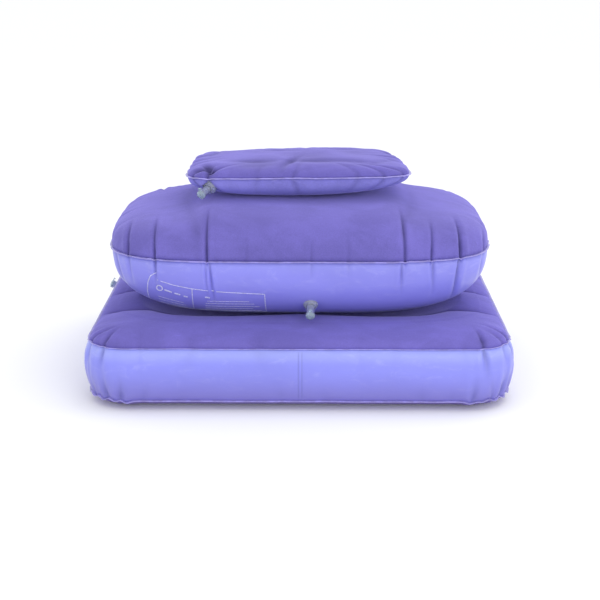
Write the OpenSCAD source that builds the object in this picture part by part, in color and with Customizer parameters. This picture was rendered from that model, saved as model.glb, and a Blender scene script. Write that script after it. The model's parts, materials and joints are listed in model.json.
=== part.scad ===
// Three-piece inflatable wobble cushion.
// A flat channelled base pad, a crowned seat cushion that rocks on it, and a small
// pillow stacked on the seat. Each air chamber has its own push-in valve.
// +X is the width, +Y points to the back, +Z is up. The origin is the middle of the floor face.

/* [Base pad] */
// Width of the base pad between its side welds
base_width = 504; // [470:2:530]
// Depth of the base pad between its front and back welds
base_depth = 400; // [380:2:430]
// Corner radius of the base weld line in plan
base_corner = 48; // [42:1:60]
// Height of the lower weld line above the floor
lower_weld_z = 12; // [8:1:16]
// Height of the upper weld line above the floor
upper_weld_z = 76; // [70:1:82]
// How far the side wall bulges outside its two welds
wall_bulge = 8; // [6:1:14]
// Height of the channel crowns above the upper weld
crown_rise = 18; // [14:1:22]
// Depth of the creases between the channels
crease_depth = 7; // [4:0.5:9]
// Distance of the first crease in front of the middle of the pad
first_crease = 80; // [70:1:90]
// Distance from one crease to the next
crease_pitch = 90; // [80:1:95]

/* [Seat cushion] */
// Width of the seat cushion between its side welds
seat_width = 472; // [440:2:490]
// Depth of the seat cushion between its front and back welds
seat_depth = 316; // [290:2:330]
// How far the seat's underside sinks below the pad's channel crowns
seat_sink = 13; // [8:1:18]
// Depth of the rocking underside below the weld line
seat_belly = 90; // [86:1:92]
// Height of the two side lobes above the weld line
seat_crown = 48; // [40:1:54]
// Extra height of the middle lobe over the side lobes
middle_lobe_rise = 14; // [8:1:20]
// Half the width of the middle lobe
middle_lobe_half = 140; // [120:2:160]
// Largest lean of the seat to either side, in degrees
wobble_lean = 4; // [2:0.5:5]

/* [Pillow] */
// Width of the pillow between its end welds
pillow_width = 282; // [260:2:300]
// Depth of the pillow between its front and back welds
pillow_depth = 154; // [140:2:170]
// Height of the pillow weld line above the top of the seat
pillow_weld_rise = 23; // [21:1:28]
// Height of the pillow above its weld line
pillow_crown = 15; // [10:1:20]
// Depth of the pillow below its weld line
pillow_belly = 27; // [24:1:32]

/* [Films and welds] */
// Thickness of the plain vinyl film
film = 0.5; // [0.4:0.1:0.8]
// Thickness of the flocked film
flock_film = 0.8; // [0.6:0.1:1.2]
// Width of the weld flange round each chamber
weld_width = 3; // [2:0.5:5]

/* [Valves] */
// Outside diameter of the valve stem
stem_diameter = 10; // [9:0.5:12]
// Bore of the valve stem
stem_bore = 6.5; // [5:0.5:7]
// Length of the stem outside the film
stem_reach = 19; // [16:1:22]
// Diameter of the soft collar the stem slides through
collar_diameter = 18; // [17:0.5:20]
// How far the stem pushes in flush with the film
stem_push = 12; // [8:1:13]
// Clearance round the sliding valve pieces
valve_clearance = 0.3; // [0.2:0.05:0.4]
// Length of the plug inside the stem
plug_shank = 7; // [5:1:9]
// How far the pad's valve stands pushed in at rest
pad_stem_in = 8; // [0:1:8]

/* [Hidden] */
$fn = 64;
half_w = base_width / 2;
half_d = base_depth / 2;
wall_mid_z = (upper_weld_z + lower_weld_z) / 2;
wall_half_h = (upper_weld_z - lower_weld_z) / 2;
wall_radius = (wall_half_h * wall_half_h + wall_bulge * wall_bulge) / (2 * wall_bulge);
wall_centre = wall_bulge - wall_radius;
edge_run = 55;
foot_run = 30;
creases = [for (k = [0:2]) k * crease_pitch - first_crease];
seat_bottom_z = upper_weld_z + crown_rise - seat_sink;
seat_weld_z = seat_bottom_z + seat_belly;
seat_top_z = seat_weld_z + seat_crown + middle_lobe_rise;
pillow_weld_z = seat_top_z + pillow_weld_rise;
seat_corner_power = 4;
belly_power = 2.8;
crown_power = 3.4;
pillow_corner_power = 5;
pillow_belly_power = 3.5;
lobe_blend = 8;
rest_gap = 0.5;
rock_gap = 1.5;
inner_gap = 1;
web_gap = 2.2;
seam_gap = 34;
ring_steps = 48;
dome_steps = 10;
top_steps = 13;
top_a = half_w + weld_width;
top_half_columns = concat(
    [for (i = [0:top_steps]) (1 - weld_width / top_a) * sin(90 * i / top_steps)], [1]);
top_columns = concat(
    [for (i = [len(top_half_columns) - 1:-1:1]) -top_half_columns[i]], top_half_columns);

// ---- heights of the soft surfaces ----

function plan_reach(x, y, a, b, power) =
    pow(pow(abs(x / a), power) + pow(abs(y / b), power), 1 / power);

function dome(x, y, a, b, power, roundness) =
    pow(max(0, 1 - pow(plan_reach(x, y, a, b, power), roundness)), 1 / roundness);

function edge_depth(x, y, a, b, r) =
    let (qx = abs(x) - (a - r), qy = abs(y) - (b - r))
    r - norm([max(qx, 0), max(qy, 0)]) - min(max(qx, qy), 0);

function quarter_rise(d, run) = sqrt(1 - pow(1 - min(1, max(0, d) / run), 2));

function middle_lobe(x) = 1 / (1 + exp((abs(x) - middle_lobe_half) / lobe_blend));

function seat_underside(x, y) =
    seat_weld_z - seat_belly * dome(x, y, seat_width / 2, seat_depth / 2, seat_corner_power, belly_power);

function seat_topside(x, y) =
    seat_weld_z + (seat_crown + middle_lobe_rise * middle_lobe(x))
        * dome(x, y, seat_width / 2, seat_depth / 2, seat_corner_power, crown_power);

// the crease profile: 0 on a channel crown, 1 in a crease
function crease_part(y) =
    let (n = (y + first_crease) / crease_pitch, f = abs(n - round(n)) * 2)
    n < -0.5 || n > 2.5 ? 0 : pow(1 - f, 2);

// the hollow the seat presses into the pad: the underside as it stands when the seat leans
// towards this point, moved outwards and down, less a clearance
function seat_hollow(x, y) =
    let (outwards = (seat_underside(x, y) - seat_bottom_z) * tan(wobble_lean))
    plan_reach(x, y, seat_width / 2, seat_depth / 2, seat_corner_power) > 0.98
        ? seat_weld_z
        : seat_underside(abs(x) - outwards, y) - tan(wobble_lean) * abs(x) - rock_gap;

function pad_top(x, y, inset) =
    let (d = edge_depth(x, y, half_w + weld_width, half_d + weld_width, base_corner + weld_width) - weld_width)
    min((crown_rise - crease_depth * crease_part(y)) * quarter_rise(d - inset, edge_run) + upper_weld_z,
        seat_hollow(x, y) - flock_film);

// ---- closed skins ----

function superellipse(a, b, power, s) =
    [for (j = [0:ring_steps - 1])
        let (t = 360 * j / ring_steps,
            k = pow(pow(abs(cos(t)), power) + pow(abs(sin(t)), power), -1 / power))
        [a * s * k * cos(t), b * s * k * sin(t)]];

function lifted(points, height) = [for (p = points) [p[0], p[1], height(p[0], p[1])]];

// A thin crowned skin with a flat weld flange. up is 1 for a skin that crowns upwards
// from its weld plane and -1 for one that hangs below it.
module skin(a, b, power, weld_z, thick, outer, inner, up) {
    rings = concat(
        [for (i = [1:dome_steps]) lifted(superellipse(a, b, power, sin(90 * i / dome_steps)), outer)],
        [lifted(superellipse(a + weld_width, b + weld_width, power, 1), function (x, y) weld_z + up * thick)],
        [lifted(superellipse(a + weld_width, b + weld_width, power, 1), function (x, y) weld_z)],
        [lifted(superellipse(a - thick, b - thick, power, 1), function (x, y) weld_z)],
        [for (i = [dome_steps - 1:-1:1])
            lifted(superellipse(a - thick, b - thick, power, sin(90 * i / dome_steps)), inner)]);
    n = ring_steps;
    count = len(rings);
    points = concat([for (r = rings) each r], [[0, 0, outer(0, 0)], [0, 0, inner(0, 0)]]);
    faces = concat(
        [for (j = [0:n - 1]) [count * n, (j + 1) % n, j]],
        [for (i = [0:count - 2], j = [0:n - 1]) [i * n + j, i * n + (j + 1) % n, (i + 1) * n + j]],
        [for (i = [0:count - 2], j = [0:n - 1])
            [i * n + (j + 1) % n, (i + 1) * n + (j + 1) % n, (i + 1) * n + j]],
        [for (j = [0:n - 1]) [count * n + 1, (count - 1) * n + j, (count - 1) * n + (j + 1) % n]]);
    polyhedron(points, up > 0 ? faces : [for (f = faces) [f[2], f[1], f[0]]]);
}

// ---- sweeps round the base weld line ----

// carries a profile, drawn with x outwards from the weld line and y up, round the pad
module round_the_pad() {
    for (sx = [-1, 1]) {
        for (sy = [-1, 1]) {
            translate([sx * (half_w - base_corner), sy * (half_d - base_corner), 0])
                rotate([0, 0, sx > 0 ? (sy > 0 ? 0 : -90) : (sy > 0 ? 90 : 180)])
                    rotate_extrude(angle = 90)
                        translate([base_corner, 0]) children();
        }
    }
    for (s = [0, 180]) {
        rotate([0, 0, s])
            translate([half_w, half_d - base_corner, 0])
                rotate([90, 0, 0])
                    linear_extrude(base_depth - 2 * base_corner) children();
        rotate([0, 0, s])
            translate([-(half_w - base_corner), half_d, 0])
                rotate([90, 0, 90])
                    linear_extrude(base_width - 2 * base_corner) children();
    }
}

module rounded_slab(w, d, r, h) {
    linear_extrude(h) {
        square([w - 2 * r, d], center = true);
        square([w, d - 2 * r], center = true);
        for (sx = [-1, 1]) {
            for (sy = [-1, 1]) {
                translate([sx * (w / 2 - r), sy * (d / 2 - r)]) circle(r);
            }
        }
    }
}

module wall_profile() {
    intersection() {
        translate([wall_centre, wall_mid_z]) {
            difference() {
                circle(wall_radius);
                circle(wall_radius - film);
            }
        }
        translate([-film, lower_weld_z]) square([wall_bulge + 1, 2 * wall_half_h]);
    }
    translate([-film, lower_weld_z]) square([weld_width + film, film]);
    translate([-film, upper_weld_z - film]) square([weld_width + film, film]);
}

module foot_profile() {
    foot_radius = (foot_run * foot_run + pow(lower_weld_z - film, 2)) / (2 * (lower_weld_z - film));
    intersection() {
        translate([-foot_run, foot_radius]) {
            difference() {
                circle(foot_radius);
                circle(foot_radius - film);
            }
        }
        translate([-foot_run, 0]) square([foot_run, lower_weld_z]);
    }
    translate([-film, lower_weld_z - film]) square([weld_width + film, film]);
}

// ---- valves ----

// Each valve is drawn with its axis along +Z and its zero level on the film. A place is the
// point on the film, the turn about Z, the tilt from upright and how far the stem is pushed in.
module at_valve(place) {
    translate(place[0]) rotate([0, 0, place[1]]) rotate([0, place[2], 0]) children();
}

module at_stem(place) {
    at_valve(place) translate([0, 0, -place[3]]) children();
}

valve_tail = 4;
flap_thick = 0.7;
flap_gap = 0.3;
rim_thick = 1.2;
rim_radius = stem_diameter / 2 + 0.5;
plug_gap = 0.3;
head_thick = 1.9;
collar_half = 2.5;
collar_top = stem_reach - rim_thick - valve_clearance - stem_push;
base_valve_climb = 0.47 * wall_half_h;
base_valve_y = 127;
base_valve = [[-(half_w + wall_centre + sqrt(pow(wall_radius, 2) - pow(base_valve_climb, 2))), base_valve_y,
    wall_mid_z + base_valve_climb], 180, 68, pad_stem_in];
seat_valve_x = 16;
seat_valve_y = -0.892 * seat_depth / 2;
seat_valve = [[seat_valve_x, seat_valve_y, seat_underside(seat_valve_x, seat_valve_y)], -90, 118, 0];
pillow_valve = [[-0.78 * pillow_width / 2, -0.882 * pillow_depth / 2,
    pillow_weld_z - 0.48 * pillow_belly], 240, 110, 0];

module valve_opening(place) {
    cut_half = 9;
    at_valve(place)
        translate([0, 0, -cut_half]) cylinder(h = 2 * cut_half, d = collar_diameter + valve_clearance);
}

module valve_collar(place) {
    at_valve(place) difference() {
        union() {
            translate([0, 0, -collar_half]) cylinder(h = 2 * collar_half, d = collar_diameter);
            translate([0, 0, collar_half])
                cylinder(h = collar_top - collar_half, d1 = collar_diameter - 3, d2 = stem_diameter + 3);
        }
        translate([0, 0, -collar_half - 1])
            cylinder(h = collar_half + collar_top + 2, d = stem_diameter + 2 * valve_clearance);
    }
}

module valve_stem(place) {
    at_stem(place) difference() {
        union() {
            translate([0, 0, -valve_tail]) cylinder(h = stem_reach + valve_tail, d = stem_diameter);
            translate([0, 0, stem_reach - rim_thick]) cylinder(h = rim_thick, r = rim_radius);
        }
        translate([0, 0, -valve_tail - 1])
            cylinder(h = stem_reach + valve_tail + 2, d = stem_bore);
    }
}

module valve_flap(place) {
    lug = 1.5;
    at_stem(place) translate([0, 0, -valve_tail - flap_thick - flap_gap]) {
        cylinder(h = flap_thick, d = stem_diameter - 1);
        translate([stem_diameter / 2 - lug, -lug, 0]) cube([lug, 2 * lug, flap_thick]);
    }
}

module valve_plug(place) {
    boss_height = 1.2;
    boss_low_diameter = 6;
    boss_high_diameter = 5;
    sink = 0.1;
    at_stem(place) {
        translate([0, 0, stem_reach - plug_shank])
            cylinder(h = plug_shank + plug_gap + sink, d = stem_bore - 2 * valve_clearance);
        translate([0, 0, stem_reach + plug_gap]) cylinder(h = head_thick, r = rim_radius);
        translate([0, 0, stem_reach + plug_gap + head_thick - sink])
            cylinder(h = boss_height, d1 = boss_low_diameter, d2 = boss_high_diameter);
    }
}

// a tongue moulded on the side of the plug's head, with its end turned down
module valve_pull_tab(place) {
    tab_reach = 3.4;
    tab_width = 3.2;
    tab_thick = 1.1;
    tab_drop = 1.4;
    tab_level = stem_reach + plug_gap + (head_thick - tab_thick) / 2;
    at_stem(place) {
        difference() {
            translate([-rim_radius - tab_reach, -tab_width / 2, tab_level])
                cube([tab_reach + 1, tab_width, tab_thick]);
            translate([0, 0, stem_reach]) cylinder(h = 3 * head_thick, r = rim_radius);
        }
        translate([-rim_radius - tab_reach, -tab_width / 2, tab_level - tab_drop])
            cube([tab_thick, tab_width, tab_drop]);
    }
}

// ---- base pad pieces ----

module base_bottom_panel() {
    color("#6C6495") {
        rounded_slab(base_width - 2 * foot_run, base_depth - 2 * foot_run, base_corner - foot_run, film);
        round_the_pad() foot_profile();
    }
}

module base_side_wall() {
    color("#9A97F5") difference() {
        round_the_pad() wall_profile();
        valve_opening(base_valve);
    }
}

module base_wall_lap() {
    lap_height = 44;
    lap_width = 6;
    lap_offset = 2;
    color("#9290E6")
        translate([lap_offset, -half_d - wall_centre, wall_mid_z])
            rotate([90, 0, 90])
                linear_extrude(lap_width)
                    intersection() {
                        difference() {
                            circle(wall_radius - film);
                            circle(wall_radius - 2 * film);
                        }
                        translate([-wall_radius, -lap_height / 2]) square([wall_radius, lap_height]);
                    }
}

module base_top_panel() {
    b = half_d + weld_width;
    r = base_corner + weld_width;
    reach = function (y) top_a - r + sqrt(max(0, r * r - pow(max(0, abs(y) - (b - r)), 2)));
    front_run = half_d + creases[0];
    back_run = half_d - creases[2];
    rows = concat(
        [-b],
        [for (i = [0:6]) -half_d + front_run * (1 - cos(90 * i / 7))],
        [for (i = [0:4]) creases[0] + i * crease_pitch / 5],
        [for (i = [0:4]) creases[1] + i * crease_pitch / 5],
        [for (i = [0:7]) creases[2] + back_run * sin(90 * i / 7)],
        [b]);
    nx = len(top_columns);
    ny = len(rows);
    top = [for (y = rows, u = top_columns) [u * reach(y), y, pad_top(u * reach(y), y, 0) + flock_film]];
    low = [for (y = rows, u = top_columns) [u * reach(y), y, pad_top(u * reach(y), y, flock_film)]];
    size = nx * ny;
    rim = concat(
        [for (i = [0:nx - 1]) i],
        [for (j = [1:ny - 1]) j * nx + nx - 1],
        [for (i = [nx - 2:-1:0]) (ny - 1) * nx + i],
        [for (j = [ny - 2:-1:1]) j * nx]);
    faces = concat(
        [for (j = [0:ny - 2], i = [0:nx - 2]) [j * nx + i, (j + 1) * nx + i, j * nx + i + 1]],
        [for (j = [0:ny - 2], i = [0:nx - 2]) [j * nx + i + 1, (j + 1) * nx + i, (j + 1) * nx + i + 1]],
        [for (j = [0:ny - 2], i = [0:nx - 2])
            [size + j * nx + i, size + j * nx + i + 1, size + (j + 1) * nx + i]],
        [for (j = [0:ny - 2], i = [0:nx - 2])
            [size + j * nx + i + 1, size + (j + 1) * nx + i + 1, size + (j + 1) * nx + i]],
        [for (k = [0:len(rim) - 1]) [rim[k], rim[(k + 1) % len(rim)], size + rim[k]]],
        [for (k = [0:len(rim) - 1])
            [rim[(k + 1) % len(rim)], size + rim[(k + 1) % len(rim)], size + rim[k]]]);
    color("#6F69B8") polyhedron(concat(top, low), faces);
}

module base_baffle(k) {
    y = creases[k];
    foot = film + inner_gap;
    // the same stations as the panel above, so that the two stay parallel
    xs = [for (u = top_columns) if (abs(u) * top_a < half_w - foot_run + 2) u * top_a];
    outline = concat(
        [for (x = xs) [x, pad_top(x, y, flock_film) - inner_gap]],
        [[xs[len(xs) - 1], foot], [xs[0], foot]]);
    color("#8B88D8")
        translate([0, y + film / 2, 0])
            rotate([90, 0, 0])
                linear_extrude(film) polygon(outline);
}

// ---- seat cushion pieces ----

module seat_top_panel() {
    a = seat_width / 2;
    b = seat_depth / 2;
    color("#8A82DC")
        skin(a, b, seat_corner_power, seat_weld_z, flock_film,
            function (x, y) seat_weld_z + flock_film
                + (seat_crown - flock_film + middle_lobe_rise * middle_lobe(x))
                    * dome(x, y, a, b, seat_corner_power, crown_power),
            function (x, y) seat_weld_z
                + (seat_crown - flock_film + middle_lobe_rise * middle_lobe(x))
                    * dome(x, y, a - flock_film, b - flock_film, seat_corner_power, crown_power),
            1);
}

module seat_bottom_panel() {
    a = seat_width / 2;
    b = seat_depth / 2;
    color("#9391EF") difference() {
        skin(a, b, seat_corner_power, seat_weld_z, film,
            function (x, y) seat_weld_z - film
                - (seat_belly - film) * dome(x, y, a, b, seat_corner_power, belly_power),
            function (x, y) seat_weld_z
                - (seat_belly - film) * dome(x, y, a - film, b - film, seat_corner_power, belly_power),
            -1);
        valve_opening(seat_valve);
    }
}

module seat_web(side) {
    x = side * middle_lobe_half;
    half_length = seat_depth / 2 - seam_gap;
    ys = [for (i = [-8:8]) i / 8 * half_length];
    outline = concat(
        [for (y = ys) [y, seat_topside(x, y) - web_gap]],
        [for (i = [len(ys) - 1:-1:0]) [ys[i], seat_underside(x, ys[i]) + web_gap]]);
    color("#8B88D8")
        translate([x - film / 2, 0, 0])
            rotate([90, 0, 90])
                linear_extrude(film) polygon(outline);
}

// ---- pillow pieces ----

module pillow_top_panel() {
    a = pillow_width / 2;
    b = pillow_depth / 2;
    color("#8A82DC")
        skin(a, b, pillow_corner_power, pillow_weld_z, flock_film,
            function (x, y) pillow_weld_z + flock_film
                + (pillow_crown - flock_film) * dome(x, y, a, b, pillow_corner_power, crown_power),
            function (x, y) pillow_weld_z
                + (pillow_crown - flock_film)
                    * dome(x, y, a - flock_film, b - flock_film, pillow_corner_power, crown_power),
            1);
}

module pillow_bottom_panel() {
    a = pillow_width / 2;
    b = pillow_depth / 2;
    color("#7F7AD2") difference() {
        skin(a, b, pillow_corner_power, pillow_weld_z, flock_film,
            function (x, y) max(seat_topside(x, y) + rest_gap,
                pillow_weld_z - flock_film
                    - (pillow_belly - flock_film) * dome(x, y, a, b, pillow_corner_power, pillow_belly_power)),
            function (x, y) max(seat_topside(x, y) + rest_gap + flock_film,
                pillow_weld_z
                    - (pillow_belly - flock_film)
                        * dome(x, y, a - flock_film, b - flock_film, pillow_corner_power, pillow_belly_power)),
            -1);
        valve_opening(pillow_valve);
    }
}

base_bottom_panel();
base_side_wall();
base_wall_lap();
base_top_panel();
base_baffle(0);  // base_baffle_front
base_baffle(1);  // base_baffle_middle
base_baffle(2);  // base_baffle_back
color("#C9D3E6") valve_collar(base_valve);  // base_valve_collar
color("#DDE6EE") valve_stem(base_valve);  // base_valve_stem
color("#C6CFE0") valve_flap(base_valve);  // base_valve_flap
color("#CFE6E2") valve_plug(base_valve);  // base_valve_plug
color("#CFE6E2") valve_pull_tab(base_valve);  // base_valve_pull_tab
seat_bottom_panel();
seat_top_panel();
seat_web(-1);  // seat_web_left
seat_web(1);  // seat_web_right
color("#C9D3E6") valve_collar(seat_valve);  // seat_valve_collar
color("#DDE6EE") valve_stem(seat_valve);  // seat_valve_stem
color("#C6CFE0") valve_flap(seat_valve);  // seat_valve_flap
color("#CFE6E2") valve_plug(seat_valve);  // seat_valve_plug
color("#CFE6E2") valve_pull_tab(seat_valve);  // seat_valve_pull_tab
pillow_bottom_panel();
pillow_top_panel();
color("#C9D3E6") valve_collar(pillow_valve);  // pillow_valve_collar
color("#DDE6EE") valve_stem(pillow_valve);  // pillow_valve_stem
color("#C6CFE0") valve_flap(pillow_valve);  // pillow_valve_flap
color("#CFE6E2") valve_plug(pillow_valve);  // pillow_valve_plug
color("#CFE6E2") valve_pull_tab(pillow_valve);  // pillow_valve_pull_tab
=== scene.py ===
"""Three-piece inflatable wobble cushion: base pad, rocking seat cushion and pillow.

Every skin is a height or profile worked out from a few sizes on a grid. Lengths are metres.
"""

import json
import math

import bmesh
import bpy
import numpy as np
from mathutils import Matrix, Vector


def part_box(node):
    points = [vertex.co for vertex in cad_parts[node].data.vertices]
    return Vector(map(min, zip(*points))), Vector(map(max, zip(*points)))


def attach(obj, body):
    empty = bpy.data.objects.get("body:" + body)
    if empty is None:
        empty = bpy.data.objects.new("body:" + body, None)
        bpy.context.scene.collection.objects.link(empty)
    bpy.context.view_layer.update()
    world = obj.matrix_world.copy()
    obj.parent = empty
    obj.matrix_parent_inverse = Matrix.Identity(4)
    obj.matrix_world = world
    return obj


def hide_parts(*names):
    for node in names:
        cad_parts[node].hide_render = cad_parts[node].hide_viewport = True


bl_info = {
    "name": "Inflatable Wobble Cushion",
    "version": (1, 0, 0),
    "blender": (4, 5, 0),
    "location": "3D View > Sidebar > Cushion",
    "description": "Builds the pad, the rocking seat, the pillow and their air valves",
    "category": "Add Mesh",
}

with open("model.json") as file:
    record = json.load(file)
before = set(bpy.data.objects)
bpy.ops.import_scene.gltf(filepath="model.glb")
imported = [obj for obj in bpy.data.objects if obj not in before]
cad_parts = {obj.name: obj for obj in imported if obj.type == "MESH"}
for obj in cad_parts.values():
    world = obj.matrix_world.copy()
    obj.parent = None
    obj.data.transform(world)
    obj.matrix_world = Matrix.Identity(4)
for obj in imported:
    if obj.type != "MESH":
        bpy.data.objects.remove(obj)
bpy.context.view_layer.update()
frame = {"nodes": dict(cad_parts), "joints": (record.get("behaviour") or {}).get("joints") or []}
JOINTS = {joint["name"]: joint for joint in frame["joints"]}
MM = 0.001
FLANGE = 3 * MM
FLOCK_FILM = 0.8 * MM
VINYL_FILM = 0.5 * MM
YAW = math.radians(0.8)
ROCK_GAP = 2.2 * MM
SOFT_BLEND = 1.2 * MM
SEAT_PLAN_POWER = 4
SEAT_CROWN_POWER = 3.4
SEAT_BELLY_POWER = 2.8
PILLOW_PLAN_POWER = 6.5
PILLOW_CROWN_POWER = 3.1
PILLOW_BELLY_POWER = 3.4
FOLD_SHADE_DEPTH = 4 * MM
COLLAR_HOLE = 7.4 * MM
SEAM_PULL_RUN = 14 * MM


def node_size(node, axis):
    """Size of a CAD node along one axis, in metres."""
    low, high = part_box(node)
    return high[axis] - low[axis]


def node_low(node, axis):
    """Lowest coordinate of a CAD node along one axis, in metres."""
    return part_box(node)[0][axis]


def node_high(node, axis):
    """Highest coordinate of a CAD node along one axis, in metres."""
    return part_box(node)[1][axis]


# ---------------------------------------------------------------- settings


def length(name, description, default):
    """A length property in metres."""
    return bpy.props.FloatProperty(
        name=name, description=description, default=default, min=0.0, unit="LENGTH", precision=4
    )


def colour(name, description, default):
    """A linear colour property."""
    return bpy.props.FloatVectorProperty(
        name=name, description=description, default=default, size=3, min=0, max=1, subtype="COLOR"
    )


class PadSizes(bpy.types.PropertyGroup):
    """Sizes of the base pad."""

    width: length("Width", "Between the side welds", node_size("base_top_panel", 0) - 2 * FLANGE)
    depth: length("Depth", "Between the front and back welds", node_size("base_top_panel", 1) - 2 * FLANGE)
    corner: length("Corner", "Radius of the weld line at a corner", 48 * MM)
    lower_weld: length("Lower weld", "Height of the lower weld", node_low("base_side_wall", 2))
    upper_weld: length("Upper weld", "Height of the upper weld", node_high("base_side_wall", 2))
    crown: length("Crown", "Height of the channel crowns over the upper weld", 18 * MM)
    crease: length("Crease", "Depth of the creases between the channels", 7 * MM)
    first_crease: length("First crease", "Its distance in front of the middle", 80 * MM)
    crease_pitch: length("Crease pitch", "From one crease to the next", 90 * MM)
    lap_width: length("Lap width", "Width of the lap weld in the front wall", 4 * MM)


class SeatSizes(bpy.types.PropertyGroup):
    """Sizes of the seat cushion."""

    width: length("Width", "Between the side welds", node_size("seat_top_panel", 0) - 2 * FLANGE)
    depth: length("Depth", "Between the front and back welds", node_size("seat_top_panel", 1) - 2 * FLANGE)
    weld: length("Weld", "Height of the weld line", node_low("seat_top_panel", 2))
    belly: length("Belly", "Depth of the underside below the weld", node_size("seat_bottom_panel", 2))
    crown: length("Crown", "Height of the side lobes over the weld", node_size("seat_top_panel", 2) - 14 * MM)
    lobe_rise: length("Lobe rise", "Extra height of the middle lobe", 14 * MM)
    lobe_half: length("Lobe half width", "Half the width of the middle lobe", 140 * MM)
    lean: bpy.props.FloatProperty(
        name="Lean",
        description="Largest lean to either side",
        default=math.radians(JOINTS["seat_wobble"]["range_deg"][1]),
        unit="ROTATION",
    )


class PillowSizes(bpy.types.PropertyGroup):
    """Sizes of the pillow."""

    width: length("Width", "Between the end welds", node_size("pillow_top_panel", 0) - 2 * FLANGE)
    depth: length("Depth", "Between the front and back welds", node_size("pillow_top_panel", 1) - 2 * FLANGE)
    weld: length("Weld", "Height of the weld line", node_low("pillow_top_panel", 2))
    crown: length("Crown", "Height over the weld", node_size("pillow_top_panel", 2))
    belly: length("Belly", "Depth below the weld", 27 * MM)


class FinishColours(bpy.types.PropertyGroup):
    """Colours of the materials."""

    flock: colour("Flock", "Nap of the seat and the pillow", (0.156, 0.132, 0.455))
    pad_flock: colour("Pad flock", "Nap of the base pad", (0.148, 0.124, 0.44))
    # Painted light: the pillow's underside has the same nap as the flock, painted paler to stand in for the
    # light on it.
    pillow_under: colour("Pillow underside", "Nap of the pillow's underside", (0.25, 0.235, 0.66))
    vinyl: colour("Vinyl", "Smooth film of the pad's wall", (0.238, 0.252, 0.80))
    seat_vinyl: colour("Seat vinyl", "Smooth film of the seat's underside", (0.235, 0.232, 0.76))
    bottom: colour("Bottom", "Film under the pad", (0.15, 0.105, 0.42))
    weld: colour("Weld", "Pressed edge where two films meet", (0.33, 0.295, 0.68))
    clear: colour("Clear", "Moulded valve parts", (0.64, 0.69, 0.88))
    plug: colour("Plug", "Moulded valve plugs", (0.55, 0.68, 0.76))
    ink: colour("Ink", "Printed lines", (0.62, 0.62, 0.90))


def sizes(name):
    """The property group of that name on the scene."""
    return getattr(bpy.context.scene, "cushion_" + name)


# ---------------------------------------------------------------- meshes


def build_mesh(name, points, quads, triangles=None, uv=None, crease=None):
    """A smooth-shaded object from vertex, quad and triangle arrays, with UVs and a crease per vertex: how much
    painted shade the materials lay there.
    """
    corner_sets = [quads.reshape(-1)]
    sides = [np.full(len(quads), 4)]
    if triangles is not None and len(triangles):
        corner_sets.append(triangles.reshape(-1))
        sides.append(np.full(len(triangles), 3))
    corners = np.concatenate(corner_sets).astype(np.int32)
    counts = np.concatenate(sides).astype(np.int32)
    starts = np.concatenate([[0], np.cumsum(counts)[:-1]]).astype(np.int32)
    mesh = bpy.data.meshes.new(name)
    mesh.vertices.add(len(points))
    mesh.vertices.foreach_set("co", np.ascontiguousarray(points, dtype=np.float32).reshape(-1))
    mesh.loops.add(len(corners))
    mesh.loops.foreach_set("vertex_index", corners)
    mesh.polygons.add(len(counts))
    mesh.polygons.foreach_set("loop_start", starts)
    mesh.polygons.foreach_set("use_smooth", np.ones(len(counts), dtype=bool))
    mesh.update(calc_edges=True)
    if uv is not None:
        layer = mesh.uv_layers.new(name="UVMap")
        layer.data.foreach_set("uv", uv[corners].astype(np.float32).reshape(-1))
    # The crease attribute holds the painted shade of folds and grooves.
    if crease is not None:
        layer = mesh.attributes.new("crease", "FLOAT", "POINT")
        layer.data.foreach_set("value", crease.astype(np.float32))
    mesh.validate()
    piece = bpy.data.objects.new(name, mesh)
    bpy.context.scene.collection.objects.link(piece)
    return piece


def grid_quads(rows, columns, wrap, flip=False):
    """Quads of a rows by columns grid of vertices, closed round its columns if wrap is set."""
    last = columns if wrap else columns - 1
    row, column = np.meshgrid(np.arange(rows - 1), np.arange(last), indexing="ij")
    after = (column + 1) % columns
    here = row * columns
    corners = [here + column, here + after, here + columns + after, here + columns + column]
    quads = np.stack(corners, axis=-1).reshape(-1, 4)
    return quads[:, ::-1] if flip else quads


def ring_quads(rows, columns):
    """Quads of a grid that is closed round both its rows and its columns, as a band or a turned part is."""
    closing = grid_quads(2, columns, wrap=True)
    closing = np.where(closing >= columns, closing - columns, closing + (rows - 1) * columns)
    return np.concatenate([grid_quads(rows, columns, wrap=True), closing])


def fan_triangles(rows, columns):
    """Triangles from the last vertex, which follows a rows by columns grid, to the grid's first row."""
    index = np.arange(columns)
    return np.stack([np.full(columns, rows * columns), index, (index + 1) % columns], axis=-1)


def surface_normals(grid, wrap):
    """Unit normals of a grid: the cross product of its two central differences."""
    along_rows = np.gradient(grid, axis=0)
    if wrap:
        along_columns = (np.roll(grid, -1, axis=1) - np.roll(grid, 1, axis=1)) / 2
    else:
        along_columns = np.gradient(grid, axis=1)
    normal = np.cross(along_columns, along_rows)
    size = np.linalg.norm(normal, axis=-1, keepdims=True)
    return normal / np.maximum(size, 1e-12)


def solid(piece, thickness, offset=-1):
    """Gives a skin its film thickness, inwards unless the offset says otherwise."""
    modifier = piece.modifiers.new("Film", "SOLIDIFY")
    modifier.thickness = thickness
    modifier.offset = offset
    return piece


def place(piece, body, slot, *nodes, fill=None):
    """Puts a piece on its CAD body, in place of its CAD nodes."""
    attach(piece, body)
    if nodes:
        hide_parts(*nodes)
    return piece


# ---------------------------------------------------------------- soft shapes


def plan_reach(x, y, a, b, power):
    """0 in the middle of a superellipse and 1 on it: (|x/a|^p + |y/b|^p)^(1/p)."""
    return (np.abs(x / a) ** power + np.abs(y / b) ** power) ** (1 / power)


def dome(reach, roundness):
    """Height of a unit dome: (1 - reach^q)^(1/q)."""
    return np.clip(1 - reach**roundness, 0, None) ** (1 / roundness)


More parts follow.
